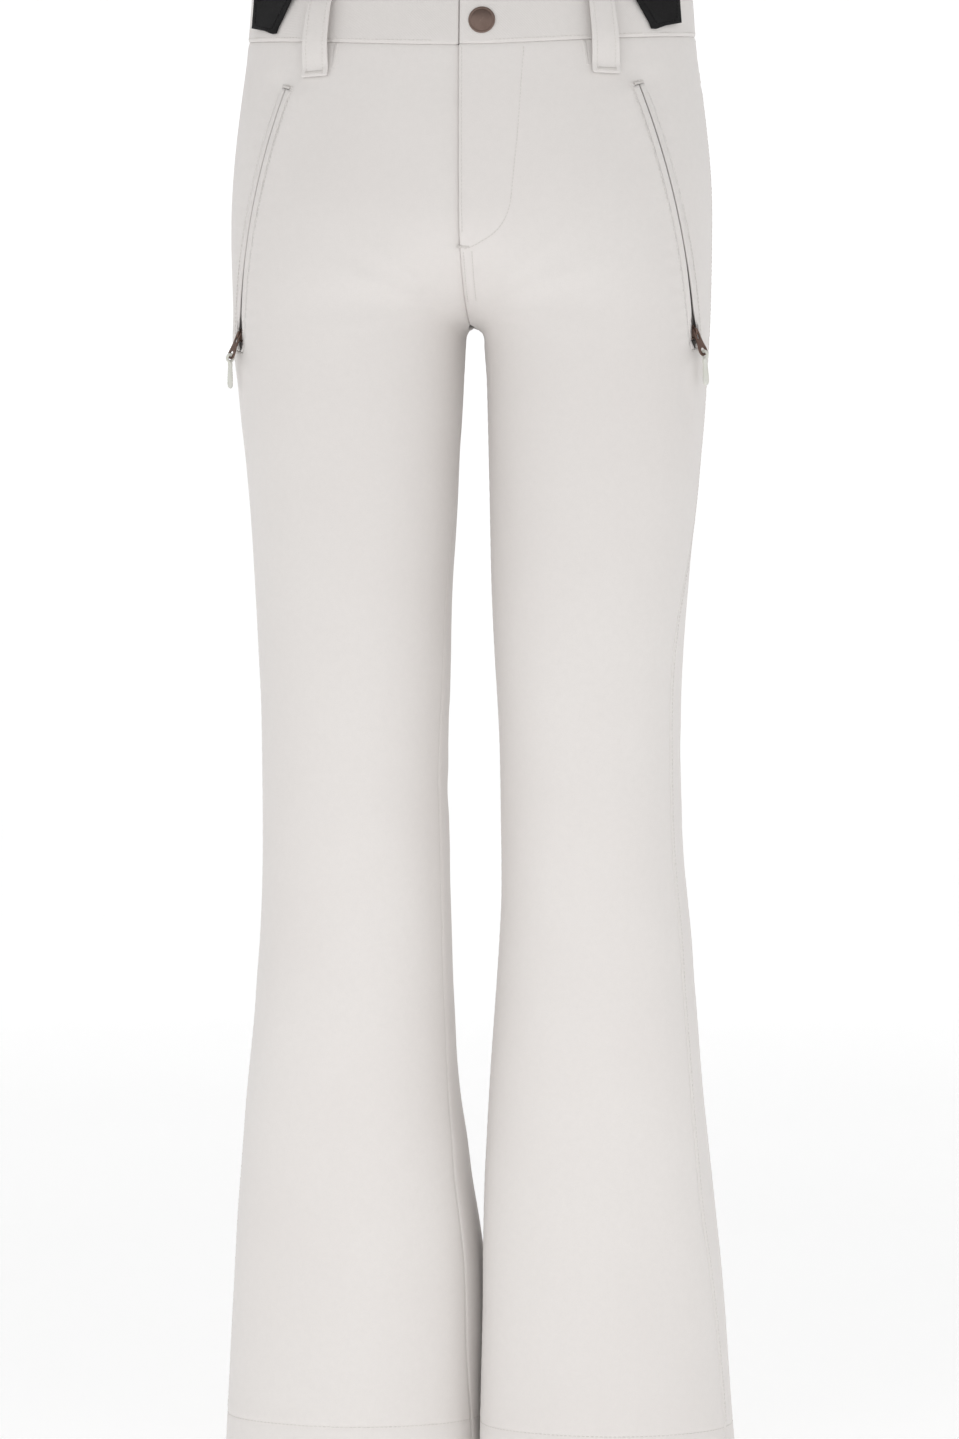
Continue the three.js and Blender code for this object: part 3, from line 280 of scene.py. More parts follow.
def drape(side, panel, u, z):
    """How far the fabric stands off the cut, in millimetres."""
    p = surf(side, panel, u, z)
    u = np.asarray(u, float)
    z = np.asarray(z, float)
    s = panel + u
    d = 0.55 * noise(p, 150) + 0.22 * noise(p + 400, 60)
    hold = 1 - sstep(z, 960, 1012)
    d = d * (0.35 + 0.65 * hold)
    # front: faint pulls running out from the crotch, and a soft hollow either side of the fly's foot
    if panel == 0:
        ax = np.abs(p[..., 0])
        for ang, r0, amp in ((0.30, 34, 0.9), (0.62, 40, 0.7), (-0.15, 30, 0.6)):
            dx, dz = ax - 4, z - 822
            r = np.hypot(dx, dz)
            a = np.arctan2(dz, dx)
            d += amp * bump1(a, ang, 0.11) * sstep(r, 12, r0) * (1 - sstep(r, 60, 125))
        d -= 1.3 * bump1(ax, 20, 13) * bump1(z, 842, 24)
        # the cloth's break at the end of each hand pocket and the crease hanging below it
        px = 161.0
        d += 1.8 * bump1(ax, px + 4, 9) * bump1(z, 798, 18)
        d -= 1.7 * bump1(ax, px - 4.0, 4.5) * bump1(z, 764, 24) * (1 - sstep(z, 770, 792))
        # knees stand a little forward
        d += 1.2 * bump1(u, 0.5, 0.35) * bump1(z, 480, 70)
    else:
        # seat: folds under each buttock and behind the knee, fading up and down
        uu = u
        for zc, amp, wd, sl in ((795, 1.9, 13, 70), (766, 1.2, 11, 60), (733, 0.8, 14, 45)):
            zc += 7 * side * math.sin(zc)
            amp *= 1 + 0.3 * side * math.cos(zc * 0.05)
            zz = z - zc + sl * (uu - 0.5) ** 2 * 2 - 26 * (uu - 0.55) + 5 * np.sin(uu * 7 + zc)
            d -= amp * np.exp(-(zz / wd) ** 2) * sstep(uu, 0.12, 0.4) * (1 - sstep(uu, 0.86, 1.0))
            d += 0.7 * amp * np.exp(-((zz - 17) / wd) ** 2) * sstep(uu, 0.12, 0.4) * (1 - sstep(uu, 0.86, 1.0))
        for zc, amp, wd, tl in ((527, 1.1, 11, 34), (499, 1.7, 12, -28), (464, 1.4, 12, 38), (431, 0.8, 14, -30)):
            zc += 6 * side * math.sin(zc * 1.7)
            amp *= 1 + 0.3 * side * math.sin(zc * 0.07)
            zz = z - zc - tl * (uu - 0.5) + 6 * np.sin(uu * 6 + zc)
            d -= amp * np.exp(-(zz / wd) ** 2) * sstep(uu, 0.08, 0.35) * (1 - sstep(uu, 0.65, 0.95))
            d += 0.6 * amp * np.exp(-((zz - 15) / wd) ** 2) * sstep(uu, 0.08, 0.35) * (1 - sstep(uu, 0.65, 0.95))
    # long soft folds in the flare, stronger towards the hem
    side_k = 0.0 if side > 0 else 1.3
    flare = (1 - sstep(z, 90, 380))
    d += flare * (1.5 if panel else 0.8) * np.sin(2 * math.pi * (s * 2.1 + side_k + 0.0006 * z)) * sstep(np.minimum(u, 1 - u), 0.0, 0.18)
    # quiet near every panel edge, so neighbouring panels meet
    d *= sstep(np.minimum(u, 1 - u), 0.0, 0.07)
    return d


# ------------------------------------------------------------------ mesh building
COLL = bpy.context.scene.collection


def new_object(name, verts, faces, smooth=True, attr=None):
    me = bpy.data.meshes.new(name)
    verts = np.asarray(verts, float)
    me.from_pydata([tuple(v) for v in verts], [], faces)
    me.validate()
    if smooth:
        me.polygons.foreach_set("use_smooth", [True] * len(me.polygons))
    if attr is not None and len(me.vertices) == len(attr):
        a = me.attributes.new("cloth", "FLOAT_VECTOR", "POINT")
        a.data.foreach_set("vector", np.asarray(attr, dtype=np.float32).ravel())
    me.update()
    ob = bpy.data.objects.new(name, me)
    COLL.objects.link(ob)
    return ob


def volume_sign(verts, faces):
    v = np.asarray(verts, float)
    v = v - v.mean(0)
    tot = 0.0
    for f in faces:
        a = v[f[0]]
        for k in range(1, len(f) - 1):
            tot += np.dot(a, np.cross(v[f[k]], v[f[k + 1]]))
    return tot


def grid_faces(R, C, off=0, flip=False, ring=False):
    i, j = np.meshgrid(np.arange(R - 1), np.arange(C if ring else C - 1), indexing="ij")
    a = off + i * C + j
    b = off + i * C + (j + 1) % C
    c = off + (i + 1) * C + (j + 1) % C
    d = off + (i + 1) * C + j
    q = np.stack([a, b, c, d], -1).reshape(-1, 4)
    return q[:, ::-1] if flip else q


def slab(name, outer, inner, attr=None, ring=False):
    """A closed sheet between two grids of points in design millimetres."""
    R, C = outer.shape[:2]
    v = np.concatenate([outer.reshape(-1, 3), inner.reshape(-1, 3)])
    n = R * C
    faces = [grid_faces(R, C, 0, False, ring), grid_faces(R, C, n, True, ring)]
    jj = np.arange(C if ring else C - 1)
    j1 = (jj + 1) % C
    faces.append(np.stack([n + jj, n + j1, j1, jj], 1))
    o = (R - 1) * C
    faces.append(np.stack([o + jj, o + j1, n + o + j1, n + o + jj], 1))
    if not ring:
        ii = np.arange(R - 1)
        faces.append(np.stack([ii * C, (ii + 1) * C, n + (ii + 1) * C, n + ii * C], 1))
        faces.append(np.stack([n + ii * C + C - 1, n + (ii + 1) * C + C - 1, (ii + 1) * C + C - 1, ii * C + C - 1], 1))
    f = np.concatenate(faces)
    # faces point out: the outer grid's first faces must look away from the inner grid
    mid = f[: (R - 1) * (C if ring else C - 1)]
    a, b, c = v[mid[:, 0]], v[mid[:, 1]], v[mid[:, 2]]
    nn = np.cross(b - a, c - a)
    out = (v[mid[:, 0]] - v[mid[:, 0] + n])
    if (nn * out).sum() < 0:
        f = f[:, ::-1]
    at = None
    if attr is not None:
        at = np.concatenate([attr.reshape(-1, 3), attr.reshape(-1, 3)])
    return new_object(name, W(v), f.tolist(), attr=at)


def sweep(name, rings, closed=False, attr=None, cap=True):
    """A closed tube through rings of points, an array (rings, points round, 3) in design millimetres."""
    rings = np.asarray(rings, float)
    R, C = rings.shape[:2]
    v = rings.reshape(-1, 3)
    f = grid_faces(R, C, 0, False, True).tolist()
    if closed:
        for j in range(C):
            f.append([(R - 1) * C + j, (R - 1) * C + (j + 1) % C, (j + 1) % C, j])
    elif cap:
        # caps are fans round a middle point
        v = np.concatenate([v, [rings[0].mean(0), rings[-1].mean(0)]])
        for j in range(C):
            f.append([R * C, (j + 1) % C, j])
            f.append([R * C + 1, (R - 1) * C + j, (R - 1) * C + (j + 1) % C])
    if volume_sign(v, f) < 0:
        f = [x[::-1] for x in f]
    at = None
    if attr is not None:
        at = np.asarray(attr, float).reshape(-1, 3)
        if not closed and cap:
            at = np.concatenate([at, at[:1], at[-1:]])
    return new_object(name, W(v), f, attr=at)


def join(name, obs):
    """One object from several."""
    obs = [o for o in obs if o]
    bpy.ops.object.select_all(action="DESELECT")
    for o in obs:
        o.select_set(True)
    bpy.context.view_layer.objects.active = obs[0]
    if len(obs) > 1:
        bpy.ops.object.join()
    obs[0].name = name
    obs[0].data.name = name
    return obs[0]


def merge_data(name, chunks):
    v, f, o = [], [], 0
    for cv, cf in chunks:
        v.append(cv)
        f.extend([[i + o for i in q] for q in cf])
        o += len(cv)
    return new_object(name, W(np.concatenate(v)), f)


def unit(v):
    v = np.asarray(v, float)
    return v / np.maximum(1e-12, np.linalg.norm(v, axis=-1, keepdims=True))


def path_frames(pts, nor):
    t = unit(np.gradient(pts, axis=0))
    n = unit(nor - (nor * t).sum(1, keepdims=True) * t)
    return t, n, np.cross(t, n)


def along(pts, step):
    s = np.concatenate([[0], np.cumsum(np.linalg.norm(np.diff(pts, axis=0), axis=1))])
    k = max(2, int(round(s[-1] / step)) + 1)
    q = np.linspace(0, s[-1], k)
    return np.stack([np.interp(q, s, pts[:, c]) for c in range(3)], 1), q, s


STITCHES = []


def stitch_line(pts, nor, pitch=3.0, length=2.35, r=0.30, lift=0.12, skip=None):
    """Topstitching: separate thread stitches along a path, each a small rounded body half sunk in the cloth."""
    pts, nor = np.asarray(pts, float), np.asarray(nor, float)
    s = np.concatenate([[0], np.cumsum(np.linalg.norm(np.diff(pts, axis=0), axis=1))])
    n_st = int(s[-1] // pitch)
    if n_st < 1:
        return
    pad = (s[-1] - n_st * pitch) / 2
    a = np.array([-1.0, -0.72, 0, 0.72, 1.0])
    rad = np.array([0.28, 0.85, 1.0, 0.85, 0.28]) * r
    dip = np.array([-0.55, -0.1, 0.12, -0.1, -0.55]) * r * 1.2
    K = 6
    th = np.arange(K) * 2 * math.pi / K
    at = lambda arr, q: np.stack([np.interp(q, s, arr[:, c]) for c in range(3)], -1)
    mid = pad + (np.arange(n_st) + 0.5) * pitch
    keep = np.ones(n_st, bool) if skip is None else ~skip(at(pts, mid))
    mid = mid[keep]
    if not len(mid):
        return
    q = mid[:, None] + a[None] * length / 2
    P, N = at(pts, q), unit(at(nor, q))
    T = unit(at(pts, mid + 0.4) - at(pts, mid - 0.4))[:, None]
    B = unit(np.cross(T, N))
    P = P + N * (lift + dip)[None, :, None]
    ring = P[:, :, None] + (B[:, :, None] * np.cos(th)[None, None, :, None] + N[:, :, None] * np.sin(th)[None, None, :, None]) * rad[None, :, None, None]
    STITCHES.append(ring.reshape(len(mid), 5 * K, 3))


def flush_stitches(name):
    """All stitches so far become one piece."""
    global STITCHES
    if not STITCHES:
        return None
    S = np.concatenate(STITCHES)
    STITCHES = []
    K, R = 6, 5
    base = grid_faces(R, K, 0, False, True).tolist()
    base.append(list(range(K))[::-1])
    base.append([(R - 1) * K + j for j in range(K)])
    if volume_sign(S[0], base) < 0:
        base = [f[::-1] for f in base]
    m = S.shape[1]
    v = S.reshape(-1, 3)
    faces = []
    for i in range(len(S)):
        faces.extend([[a + i * m for a in f] for f in base])
    return new_object(name, W(v), faces)


# ------------------------------------------------------------------ arcs of the pocket openings and the fly
class Arc:
    """A circle's arc on the body surface: w grows upwards, b is the axis, lift is measured outwards from the arc."""

    def __init__(self, C, b, R, half, rest, w_rest):
        self.C, self.b, self.R, self.half = np.array(C), unit(b), R, math.radians(half)
        self.w1 = w_rest
        self.n1 = unit(np.array(rest) - self.C)
        self.t1 = unit(np.cross(self.n1, self.b))

    def at(self, w, lift=0.0, b=0.0):
        """Point, outward direction and upward direction at angle w."""
        w = np.asarray(w, float)
        a = (w - self.w1)[..., None]
        n = self.n1 * np.cos(a) + self.t1 * np.sin(a)
        t = self.t1 * np.cos(a) - self.n1 * np.sin(a)
        p = self.C + n * (self.R + np.asarray(lift, float)[..., None]) + self.b * np.asarray(b, float)[..., None]
        return p, n, t

    def local(self, p):
        """w, b and lift of points."""
        d = p - self.C
        b = d @ self.b
        q = d - b[..., None] * self.b
        r = np.linalg.norm(q, axis=-1)
        return np.arctan2(q @ self.t1, q @ self.n1) + self.w1, b, r - self.R


POCKET = {}
for side, C, b, R, half, rest in (
        (1, (-198.67152936884844, 208.88928515645313, 870.7331332974994), (0.5812596925083792, 0.7653435366781983, 0.27638097027467595),
         443.9274166812437, 11.912741837626738, (158.82581136418872, -39.66137709009868, 807.1536783078872)),
        (-1, (200.20747116409012, 212.02454044767282, 871.5410657829761), (0.5835003620868817, -0.7630532124641106, -0.2779876299274471),
         446.72584414209234, 11.841843155608032, (-158.822708314333, -39.06539529127482, 807.1523821169684))):
    POCKET[side] = Arc(C, b, R, half, rest, -math.radians(half) + 8 / R)
FLY_R = 505.3138164558819
FLY_HALF = 7.393464414718496
FLY = Arc((18.0, 403.3213179827675, 946.9038559644408), (1, 0, 0), FLY_R, FLY_HALF, (18.0, -89.6867249956698, 989.138705487158),
          math.radians(FLY_HALF) - 8 / FLY_R)

# ------------------------------------------------------------------ the panels' finished surface
WID = {}
for side in (1, -1):
    t = TAB[side][0]
    seg = np.linalg.norm(np.diff(t, axis=1), axis=2)
    WID[side] = (seg[:, :NU].sum(1), seg[:, NU:].sum(1))


def width(side, panel, z):
    return np.interp(z, ZS, WID[side][panel])


EDGE_E = [0, 0.5, 1.0, 1.6, 2.4, 3.4, 5.0, 7.5, 12]
EDGE_D = [-0.80, -0.46, -0.25, -0.10, -0.01, 0.06, 0.12, 0.09, 0.0]
FLY_FOOT = 866.0


def yoke_z(u):
    return seam_z(1 + np.asarray(u, float)) - 34 - 26 * np.asarray(u, float)


def finished(side, panel, u, z, yoke=False):
    """Offset of a panel's face from the cut: drape, seam shoulders, the lapped fly edge, and the flat run of the pocket zip."""
    u, z = np.asarray(u, float), np.asarray(z, float)
    s = panel + u
    p = surf(side, panel, u, z)
    d = drape(side, panel, u, z)
    w = width(side, panel, z)
    e0, e1 = u * w, (1 - u) * w
    top = seam_z(s) - z
    if panel == 0:
        arc = POCKET[side]
        aw, ab, al = arc.local(p)
        near = bump1(ab, 0, 16) * sstep(arc.half + 16 / arc.R - np.abs(aw), 0, 16 / arc.R)
        d = d * (1 - near) - (al + ab ** 2 / 190) * near
        # cloth pulled a little along the zip's topstitching
        d += 0.22 * np.sin(aw * arc.R * 2 * math.pi / 11 + 2 * np.sin(aw * 31)) * bump1(np.abs(ab), 15, 5) * sstep(arc.half + 6 / arc.R - np.abs(aw), 0, 10 / arc.R)
        plain = np.interp(e0, EDGE_E, EDGE_D)
        if side > 0:
            lap = np.interp(e0, [0, 0.4, 0.9, 1.6, 4, 9, 22], [-0.3, 0.75, 1.1, 1.2, 1.0, 0.65, 0.0])
        else:
            lap = np.interp(e0, [0, 2, 5, 9, 14, 20], [-1.75, -1.6, -1.15, -0.6, -0.15, 0.0])
        k = sstep(z, FLY_FOOT - 9, FLY_FOOT + 3)
        d += plain * (1 - k) + lap * k
        # the fly's curved topstitching draws the cloth in slightly
        if side > 0:
            xx = np.abs(p[..., 0])
            j = j_edge(z)
            d -= 0.28 * bump1(xx, j, 1.6) * sstep(z, 872, 884)
            d += 0.25 * bump1(xx, j - 7, 6) * sstep(z, 872, 884)
    else:
        d += np.interp(e0, EDGE_E, EDGE_D)
    d += np.interp(e1, EDGE_E, EDGE_D)
    if panel and not yoke:
        d += np.interp(yoke_z(u) - z, EDGE_E, EDGE_D)
    elif panel and yoke:
        d += np.interp(z - yoke_z(u), EDGE_E, EDGE_D)
    if not (panel and not yoke):
        d += np.interp(top, EDGE_E, EDGE_D)
    # small puckers where a seam's stitching shortens the cloth
    for e, ph in ((e0, 0.0), (e1, 1.7)):
        d += 0.10 * np.sin(2 * math.pi * z / 8.5 + 1.3 * np.sin(z / 37.0 + ph)) * bump1(e, 4.5, 2.6)
    if panel == 0 or yoke:
        arcl = s * 165
        d += 0.13 * np.sin(2 * math.pi * arcl / 9.0 + 1.5 * np.sin(arcl / 23.0)) * bump1(top, 6, 3.5)
    # hem: a fold, and the faint draw of its stitch line 28 mm up
    d += np.interp(z, [0, 0.4, 1.0, 1.8], [-1.0, -0.35, -0.08, 0])
    d -= 0.30 * bump1(z, 28, 1.3)
    d += 0.14 * bump1(z, 33, 3) + 0.12 * bump1(z, 23, 3)
    d += 0.16 * np.sin(2 * math.pi * s * 165 / 10.0 + 1.9 * np.sin(s * 17)) * bump1(z, 30, 6)
    return d


def j_edge(z):
    """Distance of the fly's curved topstitching from the centre, for heights above its foot."""
    return np.interp(z, [862, 866, 871, 878, 888, 900, 945, 1004], [4, 14, 23, 30, 35.0, 37.0, 41.5, 45.5])


EDGES = [0.04, 0.4, 0.9, 1.6, 2.4, 3.4, 5.0, 7.5]
STEP = 3.2


def panel_mesh(name, side, panel, yoke=False):
    n_mid = int((180 if not panel else 190) / (STEP * 0.75))
    zc = 864.0
    low = [0, 0.4, 1.0, 1.8, 4.0, 8.0, 13, 18, 22, 25, 26.6, 28, 29.4, 31, 34]
    rows = []
    if not yoke:
        z = 38.0
        while z < 796:
            rows.append(("z", z))
            z += STEP
        z = 796.0
        while z < zc:
            rows.append(("z", z))
            z += 2.0
        rows = [("z", v) for v in low] + rows + [("z", zc)]
        K = int((150 if not panel else 95) / STEP)
        rows += [("k", k / K) for k in range(1, K + 1)]
        rows += [("e", e) for e in EDGES[::-1]]
    else:
        K = int(40 / STEP)
        rows = [("b", e) for e in EDGES] + [("y", k / K) for k in range(0, K + 1)] + [("e", e) for e in EDGES[::-1]]
    Z, U = [], []
    for kind, v in rows:
        zn = v if kind == "z" else (zc + (1000 - zc) * v if kind == "k" else (1000 if kind in "by" else 1010))
        w = float(width(side, panel, zn))
        ed = np.array(EDGES)
        u = np.concatenate([ed / w, np.linspace(11 / w, 1 - 11 / w, n_mid), 1 - ed[::-1] / w])
        top = seam_z(panel + u) if (not panel or yoke) else yoke_z(u)
        bot = yoke_z(u) if yoke else None
        if kind == "z":
            z = np.full_like(u, v)
        elif kind == "k":
            z = zc + (top - 11 - zc) * v
        elif kind == "e":
            z = top - v
        elif kind == "b":
            z = bot + v
        else:
            z = bot + 11 + (top - 11 - bot - 11) * v
        Z.append(z)
        U.append(u)
    Z, U = np.array(Z), np.array(U)
    P, N = surf(side, panel, U, Z), nrm(side, panel, U, Z)
    D = finished(side, panel, U, Z, yoke)
    outer = P + N * D[..., None]
    inner = P + N * (D - 1.5)[..., None]
    if not yoke:
        outer[..., 2] = np.maximum(outer[..., 2], 0.05)
        inner[..., 2] = np.maximum(inner[..., 2], 0.05)
    # the two sides never cross the centre plane above the crotch
    cen = Z >= CROTCH - 1
    for g in (outer, inner):
        x = g[..., 0] * side
        g[..., 0] = np.where(cen, np.maximum(x, 0.03), x) * side
    attr = np.stack([U * width(side, panel, Z), Z, np.full_like(Z, 10.0 * (panel + 2 * (side > 0)))], -1) * 0.001
    return slab(name, outer, inner, attr)


def boolean(ob, cutter):
    m = ob.modifiers.new("cut", "BOOLEAN")
    m.operation, m.solver, m.object = "DIFFERENCE", "EXACT", cutter
    bpy.context.view_layer.objects.active = ob
    bpy.ops.object.modifier_apply(modifier=m.name)
    bpy.data.objects.remove(cutter)


def on_front(side, xz, step=1.5):
    """A line drawn on a front panel, given as (distance from the centre, height) points: positions and normals."""
    xz = np.array(xz, float)
    s = np.concatenate([[0], np.cumsum(np.hypot(*np.diff(xz, axis=0).T))])
    q = np.arange(0, s[-1] + 1e-6, step)
    x, z = np.interp(q, s, xz[:, 0]), np.interp(q, s, xz[:, 1])
    u = np.array([u_of_x(side, b, a) for a, b in zip(x, z)])
    return on_panel(side, 0, u, z)


def on_panel(side, panel, u, z, yoke=False):
    n = nrm(side, panel, u, z)
    return surf(side, panel, u, z) + n * finished(side, panel, u, z, yoke)[..., None], n


def smooth_line(pts, k=8):
    """More points on a rounded line through the given ones."""
    pts = np.array(pts, float)
    ext = np.concatenate([[2 * pts[0] - pts[1]], pts, [2 * pts[-1] - pts[-2]]])
    out = []
    for i in range(1, len(ext) - 2):
        a, b, c, d = ext[i - 1:i + 3]
        for t in np.arange(k) / k:
            out.append(0.5 * ((2 * b) + (-a + c) * t + (2 * a - 5 * b + 4 * c - d) * t * t + (-a + 3 * b - 3 * c + d) * t ** 3))
    out.append(pts[-1])
    return np.array(out)


def tack(c, n, run, length, width_, pitch=0.42, r=0.27, lift=0.12):
    """A bar tack: close threads laid across a short line."""
    n, run = unit(n), unit(run)
    across = unit(np.cross(n, run))
    k = max(2, int(length / pitch))
    for i in range(k):
        o = c + run * (i / (k - 1) - 0.5) * length
        e = across * width_ / 2
        pts = np.array([o - e, o + e])
        stitch_line(pts, np.array([n, n]), pitch=width_ * 0.96, length=width_, r=r, lift=lift)


def rrect(w0, w1, l0, l1, r, k=4, mids=0):
    """A rounded rectangle's outline in (width, lift)."""
    out = []
    corners = ((w1 - r, l1 - r, 0), (w0 + r, l1 - r, 90), (w0 + r, l0 + r, 180), (w1 - r, l0 + r, 270))
    for i, (cx, cy, a0) in enumerate(corners):
        for a in np.radians(np.linspace(a0, a0 + 90, k)):
            out.append((cx + r * math.cos(a), cy + r * math.sin(a)))
        if mids and i in (0, 2):
            x, y = out[-1]
            x2 = w0 + r if i == 0 else w1 - r
            for m in range(1, mids + 1):
                out.append((x + (x2 - x) * m / (mids + 1), y))
    return np.array(out)


def tube(P, N, B, prof):
    """Rings from points, two directions and a (width, lift) outline, one for all or one for each."""
    prof = np.asarray(prof, float)
    if prof.ndim == 2:
        prof = np.repeat(prof[None], len(P), 0)
    return P[:, None] + B[:, None] * prof[..., :1] + N[:, None] * prof[..., 1:]


PIECES = []


def piece(ob, mat, body="garment", nodes=()):
    """Material, body and replaced nodes of a finished object, which is also added to PIECES."""
    if mat is not None:
        ob.data.materials.clear()
        ob.data.materials.append(MAT[mat])
    if body:
        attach(ob, body)
    if nodes:
        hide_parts(*nodes)
    PIECES.append(ob)
    return ob


# ------------------------------------------------------------------ materials
def lin(*rgb):
    return tuple((c / 255 / 12.92 if c / 255 <= 0.04045 else ((c / 255 + 0.055) / 1.055) ** 2.4) for c in rgb) + (1.0,)


MAT = {}


class Nodes:
    def __init__(self, name):
        self.m = bpy.data.materials.new(name)
        self.m.use_nodes = True
        self.t = self.m.node_tree
        self.bsdf = self.t.nodes["Principled BSDF"]
        self.co = self.t.nodes.new("ShaderNodeTexCoord").outputs["Object"]
        MAT[name] = self.m

    def node(self, kind, **kw):
        n = self.t.nodes.new(kind)
        for k, v in kw.items():
            if hasattr(n, k):
                setattr(n, k, v)
            else:
                n.inputs[k].default_value = v
        return n

    def link(self, a, b):
        self.t.links.new(a, b)
        return b

    def noise(self, scale, detail=2.0, rough=0.5, vec=None, stretch=None):
        n = self.node("ShaderNodeTexNoise")
        n.inputs["Scale"].default_value = scale
        n.inputs["Detail"].default_value = detail
        n.inputs["Roughness"].default_value = rough
        v = vec or self.co
        if stretch:
            mp = self.node("ShaderNodeMapping")
            mp.inputs["Scale"].default_value = stretch
            self.link(v, mp.inputs["Vector"])
            v = mp.outputs["Vector"]
        self.link(v, n.inputs["Vector"])
        return n.outputs["Fac"]

    def ramp(self, fac, a, b, lo=0.3, hi=0.7):
        r = self.node("ShaderNodeMapRange")
        r.inputs["From Min"].default_value, r.inputs["From Max"].default_value = lo, hi
        r.inputs["To Min"].default_value, r.inputs["To Max"].default_value = a, b
        self.link(fac, r.inputs["Value"])
        return r.outputs["Result"]

    def mix(self, fac, a, b):
        m = self.node("ShaderNodeMix")
        m.data_type = "RGBA"
        for sock, val in ((m.inputs[6], a), (m.inputs[7], b)):
            if isinstance(val, tuple):
                sock.default_value = val
            else:
                self.link(val, sock)
        self.link(fac, m.inputs[0])
        return m.outputs[2]

    def math(self, op, a, b=None):
        m = self.node("ShaderNodeMath", operation=op)
        for i, v in enumerate((a, b)):
            if v is None:
                continue
            if isinstance(v, (int, float)):
                m.inputs[i].default_value = v
            else:
                self.link(v, m.inputs[i])
        return m.outputs[0]

    def bump(self, height, strength, distance, normal=None):
        b = self.node("ShaderNodeBump")
        b.inputs["Strength"].default_value = strength
        b.inputs["Distance"].default_value = distance
        self.link(height, b.inputs["Height"])
        if normal:
            self.link(normal, b.inputs["Normal"])
        return b.outputs["Normal"]

    def set(self, **kw):
        for k, v in kw.items():
            s = self.bsdf.inputs[k.replace("_", " ")]
            if hasattr(v, "is_output") or hasattr(v, "links"):
                self.link(v, s)
            else:
                s.default_value = v


def cloth_material(name, rgb, dark, rough=0.82, sheen=0.25, weave=True, fleck=0.5, bump=0.28, from_attr=True):
    """Woven face: large soft tone shifts, fine yarn fleck, a twill rib at yarn scale, and a matte, slightly downy finish."""
    n = Nodes(name)
    big = n.noise(7.5, 3, 0.5)
    fine = n.noise(1500, 2, 0.6)
    mid = n.noise(210, 3, 0.6)
    base = n.mix(n.ramp(big, 0.0, 0.55, 0.32, 0.68), lin(*rgb), lin(*dark))
    base = n.mix(n.ramp(mid, 0.0, 0.22, 0.35, 0.7), base, lin(*[c - 9 for c in rgb]))
    base = n.mix(n.ramp(fine, 0.0, 0.30 * fleck, 0.3, 0.75), base, lin(*[c - 26 for c in rgb]))
    n.set(Base_Color=base, Roughness=n.ramp(mid, rough - 0.04, rough + 0.05))
    nor = n.bump(mid, 0.18, 0.0003)
    if weave:
        if from_attr:
            at = n.node("ShaderNodeAttribute")
            at.attribute_name = "cloth"
            vec = at.outputs["Vector"]
        else:
            vec = n.co
        w = n.node("ShaderNodeTexWave", wave_type="BANDS", bands_direction="DIAGONAL")
        w.inputs["Scale"].default_value = 300.0
        w.inputs["Distortion"].default_value = 1.4
        w.inputs["Detail"].default_value = 1.0
        w.inputs["Detail Scale"].default_value = 2.0
        n.link(vec, w.inputs["Vector"])
        nor = n.bump(w.outputs["Fac"], bump, 0.00012, nor)
    nor = n.bump(fine, 0.22, 0.0001, nor)
    n.set(Normal=nor)
    n.bsdf.inputs["Sheen Weight"].default_value = sheen
    n.bsdf.inputs["Sheen Roughness"].default_value = 0.55
    n.bsdf.inputs["Specular IOR Level"].default_value = 0.28
    return n


cloth_material("softshell", (226, 222, 219), (221, 216, 213))
cloth_material("softshell_band", (224, 220, 217), (219, 214, 211), from_attr=False)
cloth_material("thread", (219, 215, 211), (208, 204, 200), rough=0.6, sheen=0.1, weave=False, fleck=0.8)
cloth_material("inside", (214, 206, 203), (206, 198, 195), rough=0.9, sheen=0.35, from_attr=False, bump=0.4)
cloth_material("lining", (216, 211, 207), (205, 200, 196), rough=0.55, sheen=0.1, from_attr=False, bump=0.2)
cloth_material("label", (233, 231, 226), (225, 223, 218), rough=0.5, sheen=0.1, from_attr=False, bump=0.25)
cloth_material("tape", (200, 196, 193), (190, 186, 182), rough=0.75, sheen=0.1, from_attr=False, bump=0.5)

n = Nodes("coil_teeth")  # nylon monofilament
tone = n.noise(900, 2)
n.set(Base_Color=n.mix(n.ramp(tone, 0, 1), lin(96, 76, 71), lin(78, 61, 57)), Roughness=n.ramp(n.noise(500), 0.30, 0.45))
n.set(Normal=n.bump(tone, 0.2, 0.0001))

n = Nodes("webbing")  # black elastic: ribbed across, with a fine yarn
fine, mid = n.noise(1300, 2), n.noise(60, 3)
base = n.mix(n.ramp(fine, 0, 1, 0.3, 0.7), lin(16, 16, 17), lin(30, 29, 30))
base = n.mix(n.ramp(mid, 0, 0.35), base, lin(24, 23, 23))
n.set(Base_Color=base, Roughness=n.ramp(mid, 0.72, 0.86))
n.set(Normal=n.bump(fine, 0.5, 0.00025))
n.bsdf.inputs["Sheen Weight"].default_value = 0.04
n.bsdf.inputs["Specular IOR Level"].default_value = 0.18

n = Nodes("rubber")  # translucent soft moulding
cl = n.noise(70, 3)
n.set(Base_Color=n.mix(n.ramp(cl, 0, 1), lin(214, 214, 207), lin(203, 203, 195)), Roughness=n.ramp(n.noise(240, 3), 0.42, 0.58))
n.set(Normal=n.bump(n.noise(700, 2), 0.12, 0.0001))
n.bsdf.inputs["Subsurface Weight"].default_value = 0.15
n.bsdf.inputs["Subsurface Radius"].default_value = (0.002, 0.0019, 0.0015)


